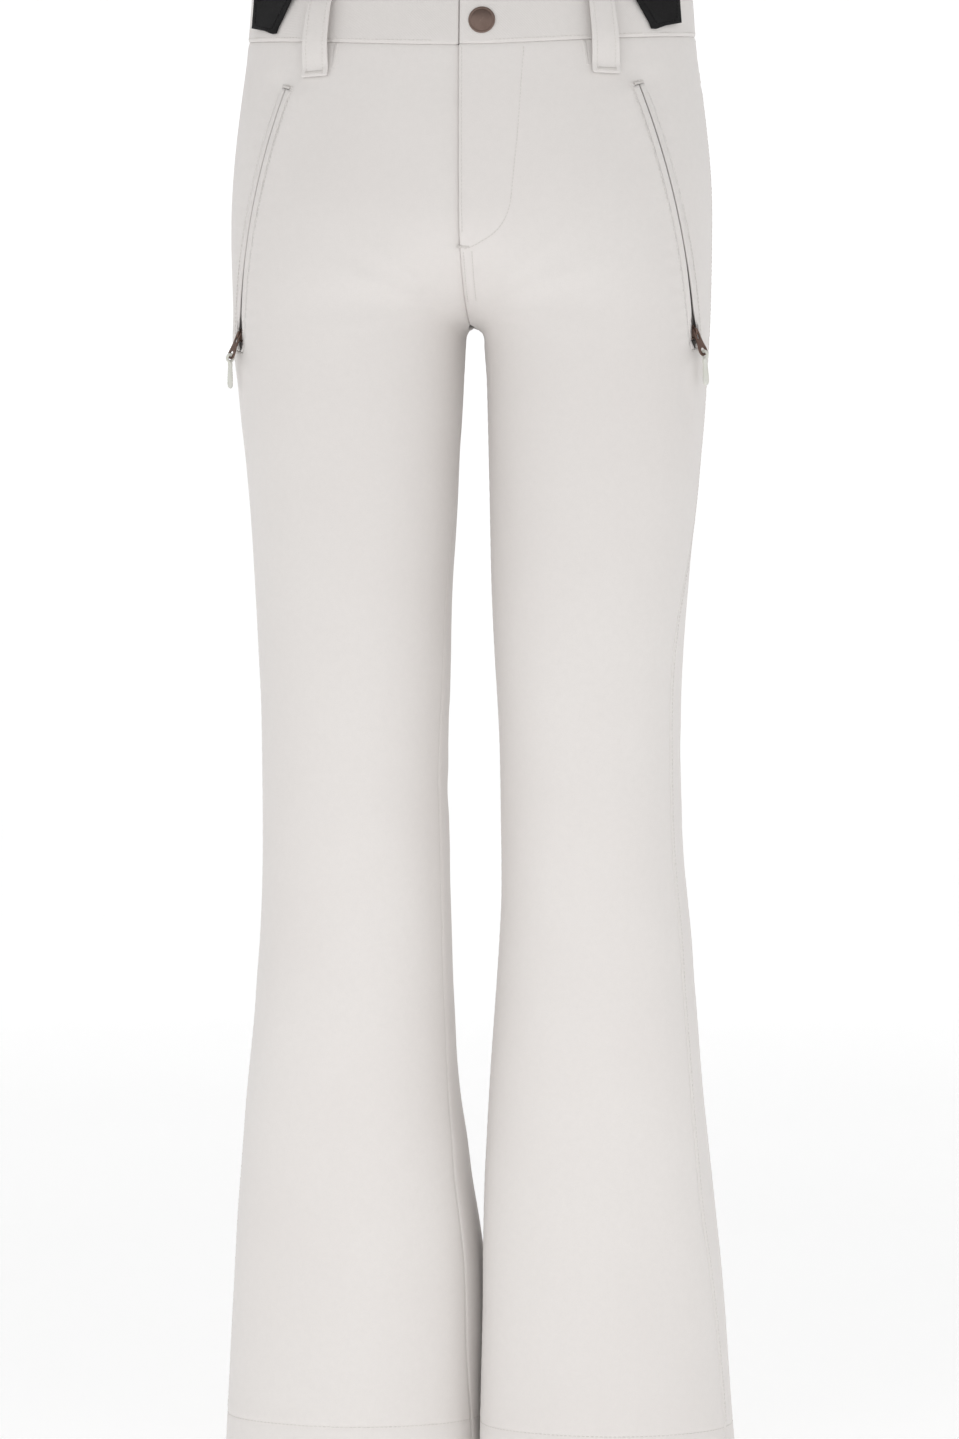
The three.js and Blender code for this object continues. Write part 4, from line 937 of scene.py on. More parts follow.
def metal(name, rgb, worn, rough, grain=(400, 400, 400)):
    n = Nodes(name)
    big, scratch = n.noise(120, 3), n.noise(1.0, 3, 0.6, stretch=grain)
    geo = n.node("ShaderNodeNewGeometry")
    edge = n.ramp(geo.outputs["Pointiness"], 0.0, 0.75, 0.52, 0.60)
    base = n.mix(n.ramp(big, 0, 0.6), lin(*rgb), lin(*[max(0, c - 14) for c in rgb]))
    base = n.mix(edge, base, lin(*worn))
    n.set(Base_Color=base, Roughness=n.ramp(scratch, rough - 0.08, rough + 0.12))
    n.set(Normal=n.bump(scratch, 0.10, 0.0001))
    n.bsdf.inputs["Metallic"].default_value = 0.85
    return n


metal("snap", (122, 104, 96), (150, 132, 122), 0.40, (900, 900, 900))
metal("bronze", (102, 82, 74), (158, 132, 118), 0.42, (1400, 300, 300))
metal("steel", (70, 69, 70), (150, 150, 152), 0.36, (300, 300, 1400))


def stage_material(name, glow):
    n = Nodes(name)
    v = n.noise(0.9, 2)
    n.set(Base_Color=n.mix(n.ramp(v, 0, 1), lin(219, 219, 219), lin(216, 216, 216)), Roughness=0.9)
    n.bsdf.inputs["Specular IOR Level"].default_value = 0.1
    n.bsdf.inputs["Emission Color"].default_value = (1, 1, 1, 1)
    n.bsdf.inputs["Emission Strength"].default_value = glow


stage_material("studio", 0.515)


# ------------------------------------------------------------------ legs, hips and yoke
NAME = {1: "left", -1: "right"}
for side in (1, -1):
    nm = NAME[side]
    arc = POCKET[side]
    front = panel_mesh(f"front_leg_{nm}", side, 0)
    ws = np.linspace(-arc.half - 3.4 / arc.R, arc.half + 3.4 / arc.R, 60)
    P, N, T = arc.at(ws)
    B = np.repeat(arc.b[None], len(ws), 0)
    k = 8
    outline = []
    for i, w in enumerate(ws):  # rounded ends
        e = min(i, len(ws) - 1 - i)
        outline.append(rrect(-6.4, 6.4, -9, 9, 0.5, 2) * [1.0 if e > 3 else (0.62, 0.82, 0.93, 0.98)[e], 1])
    cutter = sweep("cutter", tube(P, N, B, outline))
    boolean(front, cutter)
    piece(front, "softshell", nodes=[f"front_panel_{nm}"])
    piece(panel_mesh(f"back_leg_{nm}", side, 1), "softshell", nodes=[f"back_panel_{nm}"])
    piece(panel_mesh(f"back_yoke_cloth_{nm}", side, 1, yoke=True), "softshell", nodes=[f"back_yoke_{nm}"])

    # ---- the pocket opening: two rolled lips, parting over the slider at the foot
    ws = np.linspace(-arc.half - 3 / arc.R, arc.half + 3 / arc.R, 90)
    P, N, T = arc.at(ws)
    smm = (ws + arc.half + 3 / arc.R) * arc.R
    part_ = 0.55 + (2.85 * sstep((30 - smm) / 24) + 0.75 * sstep((78 - smm) / 62)) * sstep(smm, -1, 7)
    part_ = np.maximum(part_, 0.55)
    for which, sgn in (("outer", side), ("inner", -side)):
        prof = []
        for i in range(len(ws)):
            q = float(part_[i])
            swell = 0.12 * math.sin(smm[i] * 2 * math.pi / 10.5 + (0 if sgn > 0 else 2))
            pts = [(6.25, 0.0), (5.6, 0.18), (4.4, 0.30), (3.0, 0.42 + swell), (q + 1.3, 0.55 + swell), (q + 0.6, 0.42), (q + 0.15, 0.05),
                   (q, -0.4), (q + 0.15, -0.85), (q + 0.6, -1.15), (3.6, -1.25), (5.0, -1.25), (6.25, -1.25)]
            if q > 3.0:
                pts = [(max(x, q), l) for x, l in pts]
            prof.append([(x * sgn, l - x * x / 190) for x, l in pts])
        lip = sweep(f"pocket_lip_{which}_roll_{nm}", tube(P, N, np.repeat(arc.b[None], len(ws), 0), prof))
        piece(lip, "softshell_band", nodes=[f"pocket_lip_{which}_{nm}"])
    # zip: tape, then two rows of monofilament loops
    ws = np.linspace(-arc.half, arc.half, 60)
    P, N, T = arc.at(ws)
    tape = sweep(f"pocket_tape_weave_{nm}", tube(P, N, np.repeat(arc.b[None], 60, 0), rrect(-10, 10, -6.6, -5.8, 0.3, 3, mids=3)))
    piece(tape, "tape", nodes=[f"pocket_zip_tape_{nm}"])
    a0, a1 = -arc.half + 16 / arc.R, arc.half - 4 / arc.R
    ww = np.arange(a0, a1, 0.95 / arc.R)
    sewn, STITCHES = STITCHES, []  # the topstitching so far isn't part of the teeth
    for i, w in enumerate(ww):
        p, n_, t_ = arc.at(w, -3.9, 0.35 if i % 2 else -0.35)
        stitch_line(np.array([p - arc.b * 1.2, p + arc.b * 1.2]), np.array([n_, n_]), pitch=2.3, length=2.3, r=0.42, lift=0.3)
    teeth = flush_stitches(f"pocket_teeth_{nm}")
    STITCHES = sewn
    ws = np.linspace(-arc.half + 1 / arc.R, arc.half - 1 / arc.R, 60)
    P, N, T = arc.at(ws)
    core = sweep("core", tube(P, N, np.repeat(arc.b[None], 60, 0), rrect(-1.2, 1.2, -4.9, -4.1, 0.25, 3)))
    teeth = join(f"pocket_teeth_{nm}", [teeth, core])
    piece(teeth, "coil_teeth", nodes=[f"pocket_zip_coil_{nm}"])
    # topstitching round the opening, and bar tacks at its two ends
    for sgn in (1, -1):
        wl = np.linspace(-arc.half - 6.0 / arc.R, arc.half + 6.0 / arc.R, 160)
        P, N, T = arc.at(wl, -7.9 ** 2 / 190 + 0.0, 7.9 * sgn)
        stitch_line(P, N, pitch=2.9, length=2.3, r=0.21, lift=0.05)
    for wend, lift_ in ((arc.half + 6.0 / arc.R, 0), (-arc.half - 6.0 / arc.R, 0)):
        bb = np.linspace(-7.9, 7.9, 12)
        P, N, T = arc.at(np.full(12, wend), -bb ** 2 / 190 + 0.02, bb)
        stitch_line(P, N, pitch=2.9, length=2.3, r=0.27)
    c, n_, t_ = arc.at(arc.half + 4.6 / arc.R, 0.2)
    tack(c, n_, arc.b, 9.5, 2.2)
    c, n_, t_ = arc.at(-arc.half - 4.6 / arc.R, 0.2)
    tack(c, n_, arc.b, 9.5, 2.2)

    # ---- pocket bag: two layers lying together, slightly full
    zb = np.linspace(758, 1000, 60)
    ub = np.linspace(0.40, 0.93, 36)
    U, Z = np.meshgrid(ub, zb)
    wz = sstep(Z, 755, 800)
    top = seam_z(U) - 6
    Z = np.where(Z > 864, 864 + (top - 864) * (Z - 864) / (1000 - 864), Z)
    P, N = surf(side, 0, U, Z), nrm(side, 0, U, Z)
    rim = sstep(np.minimum(np.minimum(U - 0.40, 0.93 - U) * 160, Z - 758), 0, 9)
    wob = 0.35 * noise(P + 900, 70)
    bag = slab(f"pocket_bag_cloth_{nm}", P + N * (-9.15 + 0.55 * rim + wob)[..., None], P + N * (-9.5 - 0.55 * rim + wob)[..., None])
    piece(bag, "lining", nodes=[f"pocket_bag_{nm}"])

    # ---- turned-up hem inside the leg
    zz = np.array([0.7, 1.2, 2.2, 5, 9, 13, 17, 21, 25, 26.8, 27.6, 28.0])
    ss = np.linspace(0, 2, 181)[:-1]
    S, Z = np.meshgrid(ss, zz)
    P, N = bilinear(TAB[side][0], S, Z), bilinear(TAB[side][1], S, Z)
    dd = drape(side, 0, np.minimum(S, 1), Z) * (S < 1) + drape(side, 1, np.clip(S - 1, 0, 1), Z) * (S >= 1)
    edge_ = np.interp(Z, [0.7, 2.2], [0.5, 0]) + np.interp(Z, [26.8, 28], [0, 0.3])
    facing = slab(f"hem_turnup_{nm}", P + N * (dd - 1.75 - edge_ * 0.3)[..., None], P + N * (dd - 3.0 + edge_ * 0.7)[..., None], ring=True)
    piece(facing, "inside", nodes=[f"hem_facing_{nm}"])

    # ---- seam topstitching on the panels
    for panel in (0, 1):
        for z0, z1 in ((27.6, 27.6),):
            u = np.linspace(0.004, 0.996, 260)
            P, N = on_panel(side, panel, u, np.full_like(u, 28.0))
            stitch_line(P, N, pitch=3.2, length=2.5, r=0.30)
    # outseam: one line on the back panel's edge
    zline = np.arange(30, 1000, 2.0)
    for u_mm, z_lo, z_hi in ((3.0, 30, None),):
        z = np.arange(30, float(seam_z(1.0)) - 8, 2.0)
        z = z[z < float(yoke_z(0.0)) - 3]
        u = u_mm / width(side, 1, z)
        P, N = on_panel(side, 1, u, z)
        stitch_line(P, N, pitch=3.1, length=2.4, r=0.26)
    # waist seam, below the band
    u = np.linspace(0.003, 0.997, 220)
    for e in (3.0,):
        P, N = on_panel(side, 1, u, seam_z(1 + u) - e, yoke=True)
        stitch_line(P, N, pitch=2.8, length=2.2, r=0.27)
    # yoke seam: two lines above it
    for e in (2.6, 8.0):
        P, N = on_panel(side, 1, u, yoke_z(u) + e, yoke=True)
        stitch_line(P, N, pitch=2.9, length=2.3, r=0.27)
    # darts beside the front belt loops: a sewn line from the waist seam down
    zt = float(seam_z(0.5)) - 2
    dart = [(85.6, zt), (86.9, zt - 9), (88.3, zt - 18.5)]
    P, N = on_front(side, smooth_line(dart), step=0.8)
    T = unit(np.gradient(P, axis=0))
    B = np.cross(T, N)
    B *= np.sign(B[:, :1] * side)  # away from the centre
    run_ = np.linspace(0, 1, len(P))
    prof = [np.array([(0.0, -0.5), (-0.05, 0.12), (0.12, 0.42), (0.5, 0.5), (1.2, 0.40), (2.0, 0.18), (2.9, -0.12), (3.0, -0.5)]) * [1, float(np.interp(r_, [0, 0.75, 1], [1.0, 0.8, 0.15]))] for r_ in run_]
    piece(sweep(f"waist_dart_{nm}", tube(P, N, B, prof)), "softshell_band")

# fly: the curved line, a line along the lapped edge, and the doubled line down the front rise
P, N = on_front(1, smooth_line([(j_edge(z), z) for z in (1003, 975, 945, 920, 900, 890, 880, 872)] + [(15.5, 867.0), (8.0, 863.4), (1.5, 862)]))
stitch_line(P, N, pitch=2.7, length=2.15, r=0.28)
P, N = on_front(1, [(2.2, 1003), (2.2, 872)])
stitch_line(P, N, pitch=2.9, length=2.3, r=0.26)
for off in (2.4, 8.4):
    P, N = on_front(1, [(off, 861), (off, 828)])
    stitch_line(P, N, pitch=2.7, length=2.2, r=0.26)
c, n_ = on_front(1, [(1.0, 864), (5.0, 864)])
tack(c[len(c) // 2], n_[0], [1, 0, 0], 8.0, 2.0)
# back rise: two lines on the left of the seam
for off in (2.6, 8.4):
    z = np.arange(845, float(yoke_z(1.0)) - 3, 2.0)
    u = 1 - off / width(1, 1, z)
    P, N = on_panel(1, 1, u, z)
    stitch_line(P, N, pitch=2.9, length=2.3, r=0.26)


# ------------------------------------------------------------------ waistband
def band_ring(side, s, prof, extra=0.0):
    """The outline (height in the band, lift) placed at s round the waist."""
    prof = np.asarray(prof, float)
    z = seam_z(s) + prof[:, 0]
    S = np.full(len(prof), s)
    p, n = bilinear(TAB[side][0], S, z), bilinear(TAB[side][1], S, z)
    n = n / np.linalg.norm(n, axis=1, keepdims=True)
    q = p + n * (prof[:, 1:] + extra)
    if s < 0.02 or s > 1.98:
        q[:, 0] = np.maximum(q[:, 0] * side, 0.0) * side
    return q


H_OUT = [1.0, 2.2, 3.6, 6, 9, 13, 17, 21, 25, 29, 32.5, 34.8, 36.2, 37.2]


def band_profile(puff=0.35, inner=-1.2, low=0.03, deep=None, wave=0.0):
    """Outside of the band from the seam up, a rolled upper edge, and back down inside."""
    pts = [(low, -1.15), (low + 0.03, -0.55), (low + 0.35, -0.12)]
    for h in H_OUT:
        pts.append((h, 0.3 + puff * math.sin(math.pi * min(1, h / 38)) ** 0.6 + wave * math.sin(math.pi * h / 38)))
    bottom = min(inner, -1.2) if deep is None else deep
    pts += [(37.75, -0.05), (38.0, -0.7)]
    if bottom < -2.2:
        pts += [(38.0, -1.6), (37.9, bottom + 0.75), (37.4, bottom + 0.2), (36.4, bottom)]
        for h in (30, 22, 14, 7, 3):
            pts.append((h, bottom))
        pts += [(1.2, bottom + 0.1), (low + 0.2, bottom + 0.6)]
    else:
        pts += [(38.0, -1.6), (37.8, -2.3), (37.2, -2.75), (36.6, -2.6), (36.2, -1.9)]
        for h in (33, 28, 22, 14, 7):
            pts.append((h, inner))
        pts += [(3.0, inner), (1.0, inner - 0.05)]
    return np.array(pts)


def along_band(side, s, h, lift=0.55):
    """Points on the outside of the band."""
    s, h = np.asarray(s, float), np.asarray(h, float)
    z = seam_z(s) + h
    p, n = bilinear(TAB[side][0], s, z), bilinear(TAB[side][1], s, z)
    n = n / np.linalg.norm(n, axis=-1, keepdims=True)
    return p + n * np.asarray(lift, float)[..., None] if np.ndim(lift) else p + n * lift, n


def s_at(side, x, z=1030):
    return u_of_x(side, z, x)


def band_piece(name, cols, lift_of=None, **kw):
    rings = []
    for i, (side, s, pr) in enumerate(cols):
        rings.append(band_ring(side, s, pr, 0 if lift_of is None else lift_of(i, s)))
    return sweep(name, np.array(rings), **kw)


def end_ease(s_mm):
    """How closed the band is near a cut end, from 0 to 1, at a distance in mm."""
    return np.interp(s_mm, [0, 0.35, 0.9, 1.8], [0.0, 0.62, 0.9, 1.0])


def eased(prof, k, mid=-0.6):
    """The outline drawn in towards its middle, for a rounded end."""
    p = prof.copy()
    c = np.array([19.0, mid])
    p[:, 1] = c[1] + (p[:, 1] - c[1]) * (0.25 + 0.75 * k)
    p[:, 0] = c[0] + (p[:, 0] - c[0]) * (0.972 + 0.028 * k)
    return p


# wearer's left front: the snap tab and the band in one strip, thicker and doubled over the fly
cols = []
x_all = np.concatenate([[0.25, 0.6, 1.1, 2.0, 4], np.arange(7, 60, 2.4)])
for x in x_all:
    s = s_at(1, x)
    k = float(end_ease(x - 0.25))
    thick = -1.2 - 1.9 * (1 - float(sstep(x, 34, 40)))
    pr = band_profile(inner=-1.2, deep=thick) if thick < -2.25 else band_profile()
    cols.append((1, s, thick, k))
s60 = s_at(1, 60)
for s in np.linspace(s60, 0.9985, 70)[1:]:
    cols.append((1, float(s), -1.2, 1.0))
rings = []
for i, (sd, s, thick, k) in enumerate(cols):
    deep_pr, thin_pr = band_profile(deep=-3.1), band_profile()
    f = (thick + 1.2) / -1.9
    # one outline that turns from the doubled tab to the single band
    n_ = max(len(deep_pr), len(thin_pr))
    seg = lambda q: np.stack([np.interp(np.linspace(0, 1, 40), np.linspace(0, 1, len(q)), q[:, c]) for c in (0, 1)], 1)
    head = band_profile()[:19]
    tail_d, tail_t = seg(deep_pr[19:]), seg(thin_pr[19:])
    pr = np.concatenate([head, tail_d * f + tail_t * (1 - f)])
    pr = eased(pr, k, -1.4 if f > 0.5 else -0.6)
    rings.append(band_ring(sd, s, pr, 0.12 * math.sin(s * 41) * sstep(s, 0.2, 0.5) + 0.45 * (1 - sstep(s * 165, 3, 24))))
band_l = sweep("waistband_left_front_strip", np.array(rings))
band_l.data.materials.append(MAT["softshell_band"])


def band_stitch(side, s0, s1, h, pitch=2.9, lift=0.36, r=0.27):
    s = np.linspace(s0, s1, max(8, int(abs(s1 - s0) * 165 / 1.5)))
    P, N = along_band(side, s, np.full_like(s, h), lift)
    stitch_line(P, N, pitch=pitch, length=pitch * 0.8, r=r)


saved = STITCHES
STITCHES = []
band_stitch(1, s_at(1, 2.8), 0.995, 2.6)
band_stitch(1, s_at(1, 2.8), 0.995, 35.0)
hh = np.linspace(2.6, 35.0, 24)
P, N = along_band(1, np.full(24, s_at(1, 2.8)), hh, 0.5)
stitch_line(P, N, pitch=2.9, length=2.3, r=0.27)
st = flush_stitches("tab_stitches")
st.data.materials.append(MAT["thread"])
STITCHES = saved
band_l = join("waistband_left_front_strip", [band_l, st])
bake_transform(band_l)
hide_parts("waistband_front_left", "waistband_tab")

# right front
cols = []
for x in np.concatenate([[0.25, 0.6, 1.1, 2.0, 4], np.arange(7, 60, 3.0)]):
    cols.append((-1, s_at(-1, x), eased(band_profile(), float(end_ease(x - 0.25)))))
for s in np.linspace(s_at(-1, 60), 0.9985, 60)[1:]:
    cols.append((-1, float(s), band_profile()))
piece(band_piece("waistband_right_front_strip", cols, lambda i, s: 0.12 * math.sin(s * 37 + 1) * sstep(s, 0.2, 0.5) - 1.1 * (1 - sstep(s * 165, 3, 17))), "softshell_band",
      nodes=["waistband_front_right"])
band_stitch(-1, s_at(-1, 18), 0.995, 2.6)
band_stitch(-1, s_at(-1, 18), 0.995, 35.0)

# back, gathered on its elastic between the side seams
rings = []
cols = [(1, s) for s in np.linspace(1.0015, 2.0, 200)] + [(-1, s) for s in np.linspace(2.0, 1.0015, 200)[1:]]
run = 0.0
for i, (sd, s) in enumerate(cols):
    arc_mm = (s - 1) * 165 if sd > 0 else (3 - s) * 165
    g = sstep(min(arc_mm, 330 - arc_mm), 10, 50)
    amp = g * (0.42 + 0.16 * math.sin(arc_mm * 0.13))
    wv = amp * math.sin(2 * math.pi * arc_mm / 9.4 + 1.7 * math.sin(arc_mm / 19.0))
    pr = band_profile(puff=0.4)
    k = np.sin(np.pi * np.clip(pr[:, 0] / 38, 0, 1)) ** 0.8
    pr[:, 1] += wv * k * np.where(pr[:, 1] > -1.0, 1.0, 0.25)
    rings.append(band_ring(sd, s, pr))
piece(sweep("waistband_back_gathered", np.array(rings)), "softshell_band", nodes=["waistband_back"])
for sd in (1, -1):
    for h in (2.6, 35.0):
        band_stitch(sd, 1.006, 1.998, h, lift=0.42)

# woven elastic inside the back band, ribbed along its length
rings = []
rib = np.linspace(6.3, 31.7, 26)
for sd, s in [(1, s) for s in np.linspace(1.03, 2.0, 90)] + [(-1, s) for s in np.linspace(2.0, 1.03, 90)[1:]]:
    pr = [(h, -1.72 + (0.10 if i % 2 else -0.05)) for i, h in enumerate(rib)] + [(h, -2.56 - (0.08 if i % 2 else -0.04)) for i, h in list(enumerate(rib))[::-1]]
    rings.append(band_ring(sd, s, pr))
piece(sweep("waist_elastic_ribbed", np.array(rings)), "tape", nodes=["waist_elastic"])

# facing inside the whole waist
cols = []
fp = np.array([(0.9, -3.3), (1.6, -3.12)] + [(h, -3.1) for h in (5, 10, 16, 22, 28, 33)] + [(35.2, -3.15), (35.9, -3.5), (35.2, -3.9)]
              + [(h, -3.95) for h in (33, 28, 22, 16, 10, 5)] + [(1.6, -3.9), (0.9, -3.7)])
order = [(1, s) for s in np.linspace(s_at(1, 42), 2.0, 200)] + [(-1, s) for s in np.linspace(2.0, s_at(-1, 1.2), 200)[1:]]
for i, (sd, s) in enumerate(order):
    q = fp.copy()
    q[:, 1] += 0.16 * math.sin(i * 0.55 + math.sin(i * 0.07) * 2) * np.sin(np.pi * q[:, 0] / 38) - 0.12
    cols.append((sd, s, q))
piece(band_piece("waistband_facing_strip", cols), "lining", nodes=["waistband_facing"])

# underlap that the tab snaps to
rings = []
xs = np.concatenate([[-30, -29.6, -29.0, -28], np.linspace(-26, -6, 12), np.linspace(-4, 34, 20), [36, 37.0, 37.6, 38]])
for x in xs:
    sd = -1 if x < 0 else 1
    s = s_at(sd, abs(x)) if abs(x) > 0.01 else 0.0
    e = float(np.interp(min(x + 30, 38 - x), [0, 0.4, 1, 2], [0.3, 0.75, 0.94, 1]))
    top_l = -5.0 - 1.8 * float(sstep(x, -5, 1))
    mid = (top_l - 8.1) / 2
    hs = [2.6, 5, 10, 16, 22, 28, 33, 35.2]
    pr = [(1.6, mid - 0.3 * e), (1.7, top_l - 0.35)] + [(h, top_l) for h in hs] + [(36.2, top_l - 0.35), (36.4, mid), (36.2, -7.8)] + [(h, -8.1) for h in hs[::-1]] + [(1.8, -7.8)]
    pr = np.array(pr)
    pr[:, 1] = mid + (pr[:, 1] - mid) * e
    p = band_ring(sd, s, pr)
    if sd < 0 or x < 1:
        pass
    rings.append(p)
piece(sweep("waistband_underlap_strip", np.array(rings)), "softshell_band", nodes=["waistband_underlap"])

# ------------------------------------------------------------------ snap fastener
sp, sn = np.array([15.999999999952493, -97.44015999858198, 1021.0]), np.array([0.0, -0.9946742966063006, 0.1030681506128888])
s_t = unit(np.array([0, 0, 1.0]) - sn * sn[2])
s_b = np.cross(s_t, sn)


def lathe(name, prof, lift, seg=72, center=sp, n=sn, b=s_b, t=s_t):
    prof = np.array(prof, float)
    a = np.linspace(0, 2 * math.pi, seg, endpoint=False)
    rings = [center + n * (z + lift) + np.outer(np.cos(a) * r, b) + np.outer(np.sin(a) * r, t) for r, z in prof]
    return sweep(name, np.array(rings))


cap = lathe("snap_cap_domed", [(6.0, 0.0), (8.7, 0.0), (9.15, 0.12), (9.38, 0.42), (9.4, 0.8), (9.25, 1.12), (8.95, 1.3), (8.6, 1.38), (8.25, 1.36), (8.0, 1.28), (7.8, 1.24),
                                (7.55, 1.34), (7.1, 1.56), (6.3, 1.82), (5.2, 2.08), (4.0, 2.28), (2.6, 2.44), (1.2, 2.52), (0.3, 2.54)], 0.62)
piece(cap, "snap", "waist_tab", ["snap_cap"])
sock = lathe("snap_socket_ring", [(3.15, 0.1), (3.3, 0), (5.7, 0), (6, 0.25), (6, 0.95), (5.7, 1.2), (4.9, 1.35), (4.4, 1.72), (4.1, 1.8), (3.5, 1.8), (3.2, 1.6), (3.1, 1.2), (3.1, 0.5), (3.15, 0.1)], -5.5)
# ring: rejoin the outline to itself instead of capping it
bpy.data.objects.remove(sock)
prof = np.array([(3.15, 0.1), (3.3, 0), (5.7, 0), (6, 0.25), (6, 0.95), (5.7, 1.2), (4.9, 1.35), (4.4, 1.72), (4.1, 1.8), (3.5, 1.8), (3.2, 1.6), (3.1, 1.2), (3.1, 0.5)])
a = np.linspace(0, 2 * math.pi, 64, endpoint=False)
rings = [sp + sn * (prof[:, 1:] - 5.5) + prof[:, :1] * (math.cos(q) * s_b + math.sin(q) * s_t) for q in a]
sock = sweep("snap_socket_ring", np.array(rings), closed=True)
piece(sock, "snap", "waist_tab", ["snap_socket"])
piece(lathe("snap_stud_turned", [(0.3, 0.0), (5.2, 0.0), (5.5, 0.15), (5.5, 0.35), (5.3, 0.5), (2.7, 0.55), (2.35, 0.75), (2.35, 1.1), (2.55, 1.4), (2.5, 1.85), (2.2, 2.15), (0.3, 2.2)], -6.35), "snap",
      nodes=["snap_stud"])
piece(lathe("snap_post_turned", [(0.3, 0.0), (4.9, 0.0), (5.2, 0.12), (5.4, 0.4), (5.2, 0.68), (4.9, 0.8), (0.3, 0.8)], -9.3), "snap", nodes=["snap_post"])

# ------------------------------------------------------------------ fly
fl = FLY
ws = np.linspace(-fl.half, fl.half, 50)
P, N, T = fl.at(ws)
B = np.repeat(fl.b[None], len(ws), 0)
piece(sweep("fly_tape_weave", tube(P, N, B, rrect(-12.5, 12.5, -12.5, -11.7, 0.3, 3, mids=3))), "tape", nodes=["fly_zip_tape"])
saved = STITCHES
STITCHES = []
for i, w in enumerate(np.arange(-fl.half + 4 / fl.R, fl.half - 1 / fl.R, 1.0 / fl.R)):
    p, n_, t_ = fl.at(w, -10.4, 0.35 if i % 2 else -0.35)
    stitch_line(np.array([p - fl.b * 1.2, p + fl.b * 1.2]), np.array([n_, n_]), pitch=2.3, length=2.3, r=0.42, lift=0.25)
teeth = flush_stitches("fly_teeth")
STITCHES = saved
core = sweep("core", tube(P, N, B, rrect(-1.2, 1.2, -11.4, -10.7, 0.25, 3)))
piece(join("fly_teeth", [teeth, core]), "coil_teeth", nodes=["fly_zip_coil"])
ws = np.linspace(-fl.half - 0.012, fl.half + 0.003, 50)
P, N, T = fl.at(ws)
B = np.repeat(fl.b[None], len(ws), 0)
piece(sweep("fly_shield_cloth", tube(P, N, B, rrect(-30, 25, -14.6, -13.4, 0.55, 4, mids=8))), "inside", nodes=["fly_shield"])
zs = np.linspace(893, 1000.5, 40)
ks = np.linspace(0, 1, 20)
Zg, Kg = np.meshgrid(zs, ks, indexing="ij")
wd = np.interp(Zg, [892, 903, 915, 945, 975, 1001], [36, 39, 41, 44, 45, 45]) - 0.6
X = 0.8 + wd * Kg
U = np.array([[u_of_x(1, zz, xx) for xx in X[i]] for i, zz in enumerate(zs)])
P, N = surf(1, 0, U, Zg), nrm(1, 0, U, Zg)
piece(slab("fly_facing_cloth", P + N * (-2.9 + 0.05 * np.sin(Zg / 5))[..., None], P + N * (-3.7 + 0.05 * np.sin(Zg / 5))[..., None]), "softshell_band", nodes=["fly_facing"])

# ------------------------------------------------------------------ belt loops
def loop_path(side, panel, uof, back=False):
    hs = np.array([-25, -21, -17, -7, 3, 17, 27, 34.5, 37.2])
    lifts = np.array([1.0, 1.0, 1.5, 4.6, 6.2, 6.2, 5.2, 1.9, 1.3])
    q = smooth_line(np.stack([hs, lifts], 1), 8)
    P, mid = [], None
    for h, l in q:
        if back:
            s = 2.0
            p = bilinear(TAB[1][0], np.array(s), np.array(float(seam_z(2.0)) + h))
            a, b = (bilinear(TAB[1][0], np.array(s), np.array(float(seam_z(2.0)) + h + d)) for d in (4, -4))
            t = unit(a - b)
            p = np.array([0.0, p[1], p[2]])
            n = unit(np.array([0.0, t[2], -t[1]]))
        else:
            u = uof(h)
            s = panel + u
            z = float(seam_z(s)) + h
            p, n = surf(side, panel, u, z), nrm(side, panel, u, z)
        P.append((p, n, l))
    j = int(np.argmin(np.abs(q[:, 0] - 10)))
    n0 = P[j][1]
    b0 = np.array([1.0, 0, 0]) if back else unit(np.cross([0, 0, 1], n0))
    pts = np.array([p + n0 * (l + 0.02) for p, n, l in P])
    return pts, n0, b0


LOOP_PROFILE = rrect(-9, 9, 0.0, 1.7, 0.6, 4, mids=3)


def belt_loop(node, pts, n0, b0):
    prof = []
    s = np.concatenate([[0], np.cumsum(np.linalg.norm(np.diff(pts, axis=0), axis=1))])
    t = unit(np.gradient(pts, axis=0))
    N = unit(n0 - (t @ n0)[:, None] * t)
    for i in range(len(pts)):
        e = min(s[i], s[-1] - s[i])
        k = float(np.interp(e, [0, 0.5, 1.2, 2.4], [0.90, 0.96, 0.99, 1.0]))
        kt = float(np.interp(e, [0, 0.5, 1.2], [0.45, 0.85, 1.0]))
        q = LOOP_PROFILE.copy()
        q[:, 0] *= k * float(np.interp(s[i] / s[-1], [0, 0.35, 1.0], [1.16, 1.12, 1.0]))
        q[:, 1] = 0.85 + (q[:, 1] - 0.85) * kt
        # the strip crowns slightly between its stitch lines
        q[:, 1] += np.where(q[:, 1] > 1.0, 0.22 * (1 - (q[:, 0] / 9) ** 2), 0)
        prof.append(q)
    B = np.repeat(b0[None], len(pts), 0)
    ob = sweep(node + "_strip", tube(pts, N, B, prof))
    piece(ob, "softshell_band", nodes=[node])
    for w in (-6.6, 6.6):
        stitch_line(pts + b0 * w + N * 1.72, N, pitch=2.7, length=2.1, r=0.25, lift=0.08)
    for i0, i1 in ((6, 9), (-10, -7)):
        c = pts[i0] + N[i0] * 1.86
        tack(c, N[i0], b0, 14.0, 2.2)


